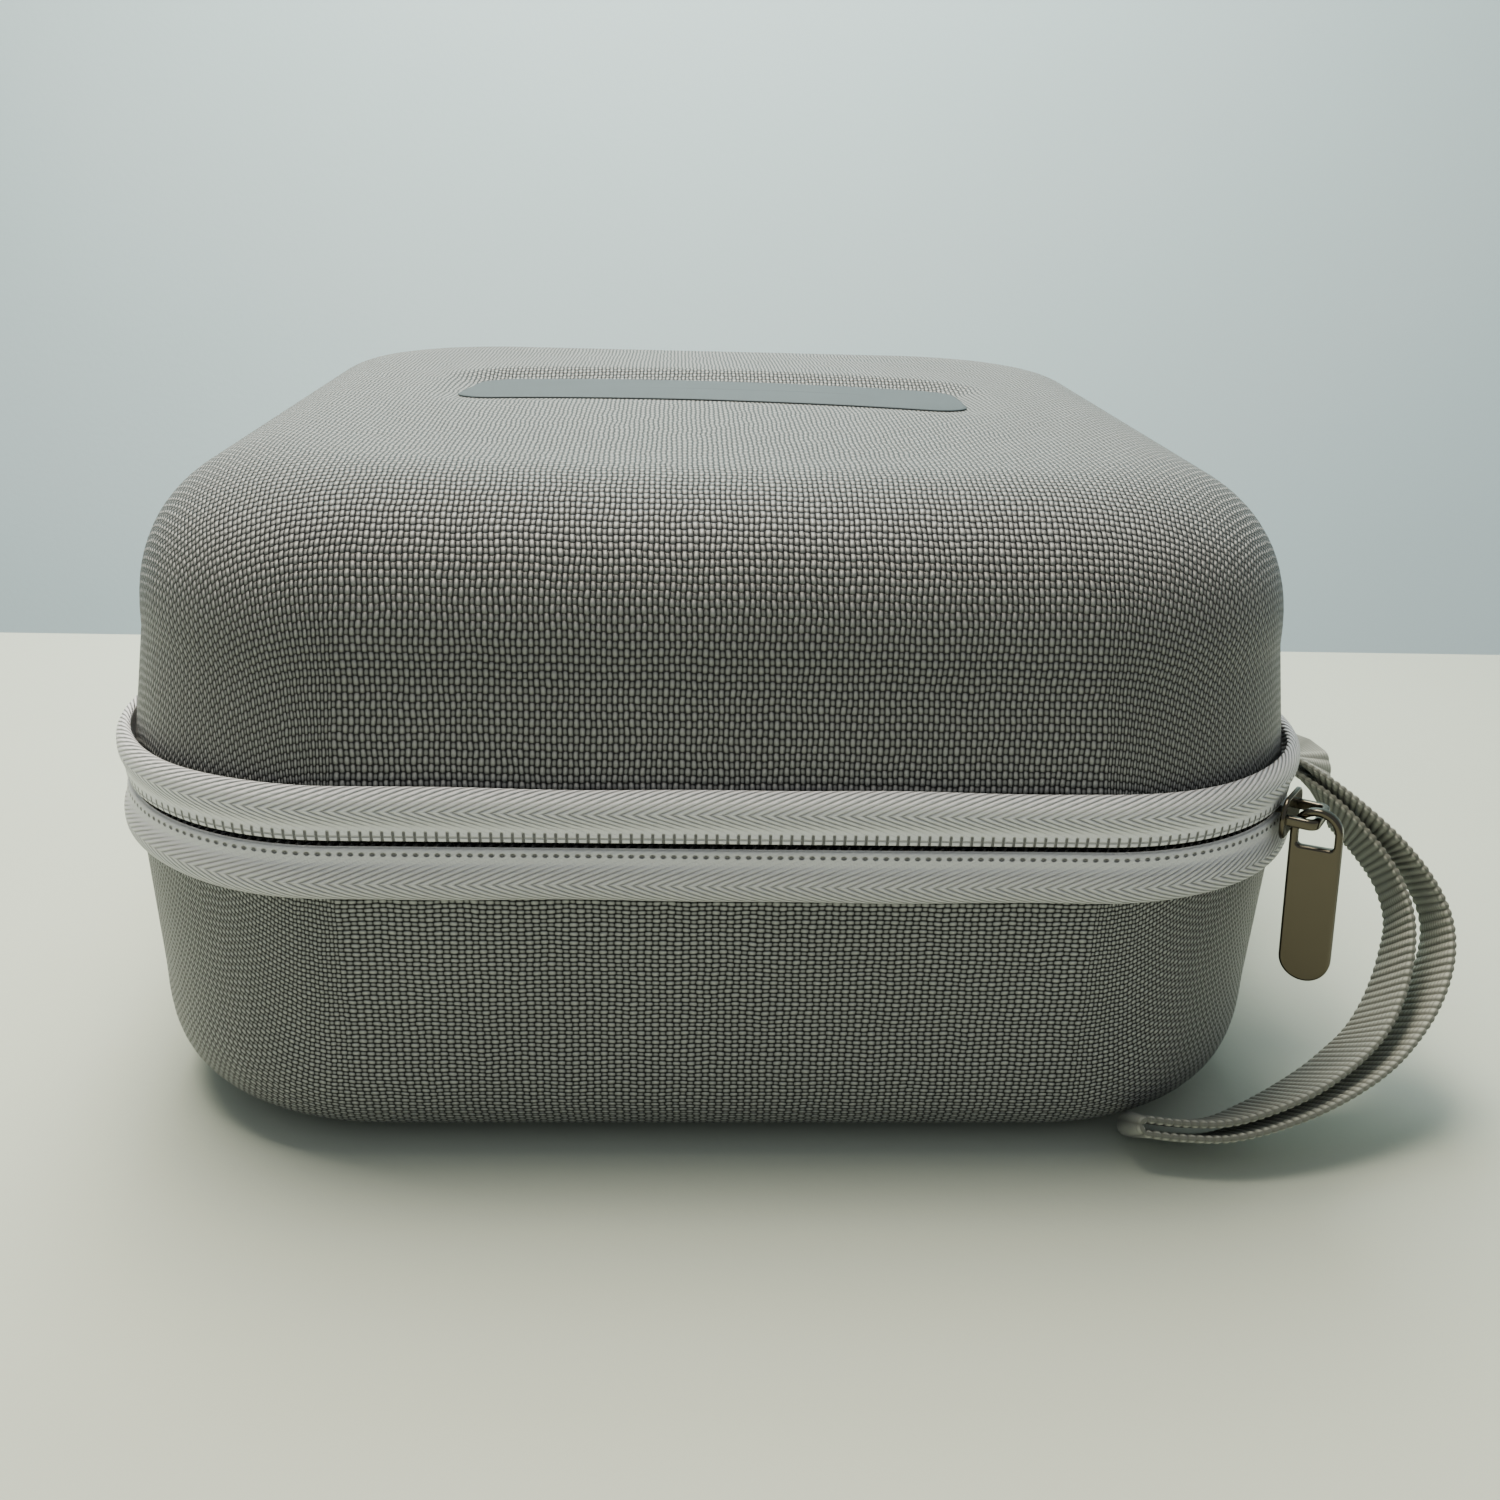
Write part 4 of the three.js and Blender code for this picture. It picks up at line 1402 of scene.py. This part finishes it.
# ------------------------------------------------------------------ foam inside
@dataclass
class FoamInside:
    """The die-cut tray with its pockets and tabs, the pad under it and the egg-crate pad in the lid."""

    pocket_corner: float = 5.0
    crate_pitch: float = 14.0
    crate_depth: float = 7.0
    crate_corner: float = 20.0

    def slab(self, node: str, name: str, corner: float, bevel: float, finish: bpy.types.Material,
             holes: list[np.ndarray]) -> bpy.types.Object:
        """Makes a cut slab of a CAD node's size.

        Args:
            node: The node that it stands for.
            name: The object's name.
            corner: Its corner radius.
            bevel: Radius of its edges.
            finish: The foam.
            holes: Outlines cut through it.

        Returns:
            The linked object.
        """
        low, high = box_mm(node)
        middle = (low + high) / 2
        half = (high - low) / 2
        outline = rounded(half[0], half[1], corner)
        axes = Matrix.Translation(Vector(middle) * MM)
        return plate(name, [outline] + holes, 2 * half[2], bevel, axes, finish)

    def pockets(self) -> list[np.ndarray]:
        """Outlines of the pockets, read from the frame's openings."""
        outlines = []
        for opening in frame["record"]["physics"]["openings"]:
            if opening["name"].startswith("tray_pocket"):
                low, high = (np.array(corner) / MM for corner in opening["box_m"])
                half = (high - low)[:2] / 2 + 0.3
                x, y = (low + high)[:2] / 2
                outlines.append(rounded(half[0], half[1], self.pocket_corner, x, y))
        return outlines

    def build(self, foam: bpy.types.Material, crate: bpy.types.Material, ribbon: bpy.types.Material) -> None:
        """Makes the foam pieces and the tray's tabs.

        Args:
            foam: Finish of the tray and the floor pad.
            crate: Finish of the lid's pad.
            ribbon: Finish of the tabs.
        """
        tray = self.slab("foam_tray", "pocket_tray", 33, 0.9, foam, self.pockets())
        place(tray, "case", "foam", "foam_tray")
        floor_pad = self.slab("floor_pad", "floor_foam", 31, 1.2, foam, [])
        place(floor_pad, "case", "foam", "floor_pad")
        lid_pad = place(self.egg_crate(crate), "lid", "lid_foam", "lid_pad")
        for node in ("tray_tab_left", "tray_tab_right"):
            tab = self.slab(node, node + "_ribbon", 1.0, 0.3, ribbon, [])
            place(tab, "case", "ribbon", node)

    def egg_crate(self, finish: bpy.types.Material) -> bpy.types.Object:
        """Makes the lid's pad: flat against the lid, with a field of soft peaks facing down."""
        low, high = box_mm("lid_pad")
        half = (high - low)[:2] / 2
        outline = Outline(per_corner=12, per_side=40)
        middle = outline.columns(2, 7, 1)[0]
        rows = [np.column_stack((middle, np.full(len(middle), high[2])))]
        for inset, drop in ((0.0, 0.0), (0.0, 4.0), (0.0, 8.0), (0.4, 10.0)):
            ring = outline.columns(half[0] - inset, half[1] - inset, self.crate_corner - inset)[0]
            rows.append(np.column_stack((ring, np.full(len(ring), high[2] - drop))))
        for inset in np.arange(1.2, half[0] - 1, 1.5):
            radius = max(self.crate_corner - inset, 0.8)
            ring = outline.columns(half[0] - inset, half[1] - inset, radius)[0]
            wave = np.cos(ring * 2 * math.pi / self.crate_pitch).prod(axis=1)
            peak = low[2] + self.crate_depth / 2 * (1 - wave)
            rows.append(np.column_stack((ring, peak)))
        return surface("egg_crate_pad", np.array(rows), finish, capped=True)


# ------------------------------------------------------------------ stage, light and camera
@dataclass
class Studio:
    """A pale table and wall, a soft light overhead and the camera in front of the case."""

    camera_at: tuple = (-7.3, -311.8, 150.9)
    looks: tuple = (0.0486, 0.9346, -0.3523)
    roll: float = 0.030
    lens: float = 37.9
    table_edge: float = 188.0
    wall_at: float = 640.0

    def camera(self) -> None:
        """Puts the camera in front, a little above the case."""
        data = bpy.data.cameras.new("view_camera")
        data.lens = self.lens
        data.sensor_width = 36
        data.clip_start = 0.01
        camera = bpy.data.objects.new("view_camera", data)
        camera.rotation_mode = "QUATERNION"
        turn = Vector(self.looks).to_track_quat("-Z", "Y") @ Quaternion((0, 0, 1), self.roll)
        camera.rotation_quaternion = turn
        camera.location = Vector(self.camera_at) * MM
        bpy.context.scene.collection.objects.link(camera)
        bpy.context.scene.camera = camera

    def board(self, name: str, corners: list[tuple[float, float, float]], finish: bpy.types.Material) -> None:
        """Makes one flat board of the stage from its corners."""
        made = mesh_object(name, np.array(corners, float), [tuple(range(len(corners)))], finish)

    def light(self, name: str, at: tuple, aims_at: tuple, size: float, power: float, tint: str) -> None:
        """Adds a square soft light.

        Args:
            name: The light's name.
            at: Where it hangs, in millimetres.
            aims_at: The point that it faces.
            size: Its side, in millimetres.
            power: Its power in watts.
            tint: Its colour.
        """
        data = bpy.data.lights.new(name, "AREA")
        data.size = size * MM
        data.energy = power
        data.color = linear(tint)[:3]
        lamp = bpy.data.objects.new(name, data)
        lamp.location = Vector(at) * MM
        lamp.rotation_mode = "QUATERNION"
        lamp.rotation_quaternion = (Vector(aims_at) - Vector(at)).to_track_quat("-Z", "Y")
        bpy.context.scene.collection.objects.link(lamp)

    def build(self) -> None:
        """Makes the floor, the wall, the lights and the soft ambient light."""
        paper = StagePaint("table_board_matt_paint", "bcc3b3", "b4bbac").build()
        paint = StagePaint("wall_board_matt_paint", "daf1f1", "d3ebeb", one_sided=True).build()
        edge, far, wide = self.table_edge, self.wall_at, 1500
        table = [(-wide, -wide, 0), (wide, -wide, 0), (wide, edge, 0), (-wide, edge, 0)]
        self.board("table_board", table, paper)
        wall = [(-wide, far, -wide), (wide, far, -wide), (wide, far, wide), (-wide, far, wide)]
        self.board("wall_board", wall, paint)
        self.light("ceiling_panel", (-130, 70, 650), (0, 0, 40), 430, 10.5, "fff7e6")
        self.light("wall_wash", (0, 440, 700), (0, self.wall_at, 0), 420, 6.0, "f4fbff")
        world = bpy.data.worlds.new("room")
        world.use_nodes = True
        world.node_tree.nodes["Background"].inputs["Color"].default_value = linear("e4eaf0")
        world.node_tree.nodes["Background"].inputs["Strength"].default_value = 0.5
        bpy.context.scene.world = world


def main() -> None:
    """Builds the camera, every sub-assembly and the stage, and reports each piece."""
    logging.basicConfig(level=logging.INFO, format="%(name)s: %(message)s")
    studio = Studio()
    studio.camera()
    case = CaseMeasures()
    lid_cloth = WovenNylon("nylon_weave_lid").build()
    # The base's weave is painted lighter than the lid's same cloth: painted light from the table's bounce,
    # also on the hinge.
    base_cloth = WovenNylon(
        "nylon_weave_base", crown="aeb0ac", shank="90928f", yarn_u=1.12, yarn_v=0.76, lift_u=0.62, lift_v=1.0,
    ).build()
    lining = SoftCloth("brushed_knit_lining", "6f716c", "8b8d87").build()
    binding = SoftCloth("grosgrain_binding", "77786f", "8f9087", grain=0.4).build()
    zinc = PlatedZinc("black_nickel_zinc").build()
    webbing = RibbedWebbing("ribbed_polyester_webbing").build()

    lid = HalfShell(case, up=1, draft=0.13, rounding=27, power=2.43, face=107.0, dome=1.8)
    base = HalfShell(case, up=-1, draft=0.044, rounding=22, power=3, face=0.0)
    badge = Badge(lid, lid.outline)
    lid_shell = lid.build("lid_woven_shell", 0.0, lid.wall, lid_cloth, badge.face_rings())
    place(lid_shell, "lid", "shell_cloth", "lid_shell")
    place(base.build("base_woven_shell", 0.0, base.wall, base_cloth), "case", "shell_cloth", "base_shell")
    lining_back = lid.wall + LINING_GAP
    lining_face = lining_back + LINING_THICKNESS
    place(lid.build("lid_knit_lining", lining_back, lining_face, lining), "lid", "lining", "lid_lining")
    place(base.build("base_knit_lining", lining_back, lining_face, lining), "case", "lining", "base_lining")
    place(badge.build(SatinPatch("coated_satin_patch").build()), "lid", "badge", "lid_badge")

    chain = ZipChain(case)
    chain.tapes({1: HerringboneTape("herringbone_tape_upper", StitchRow.LADDER).build(),
                 # The lower tape's pale is a little darker than the upper's: painted shade on the tape that
                 # faces down.
                 -1: HerringboneTape("herringbone_tape_lower", StitchRow.HOLES, "d6d6d5").build()})
    nylon = DrawnNylon("coil_monofilament").build()
    place(chain.coil(1, nylon), "lid", "zip_coil", "upper_zip_coil")
    place(chain.coil(-1, nylon), "case", "zip_coil", "lower_zip_coil")
    chain.stops(zinc)
    chain.hinge(base_cloth)
    chain.piping(binding)

    ZipSlider(case).build(zinc)
    strap = WristStrap()
    strap.build(webbing)
    strap.sewn_root(webbing)
    cut_foam = OpenCellFoam("cut_polyurethane_foam").build()
    crate_foam = OpenCellFoam("egg_crate_foam", "3a3c40").build()
    FoamInside().build(cut_foam, crate_foam, binding)
    studio.build()


if __name__ == "__main__":
    main()
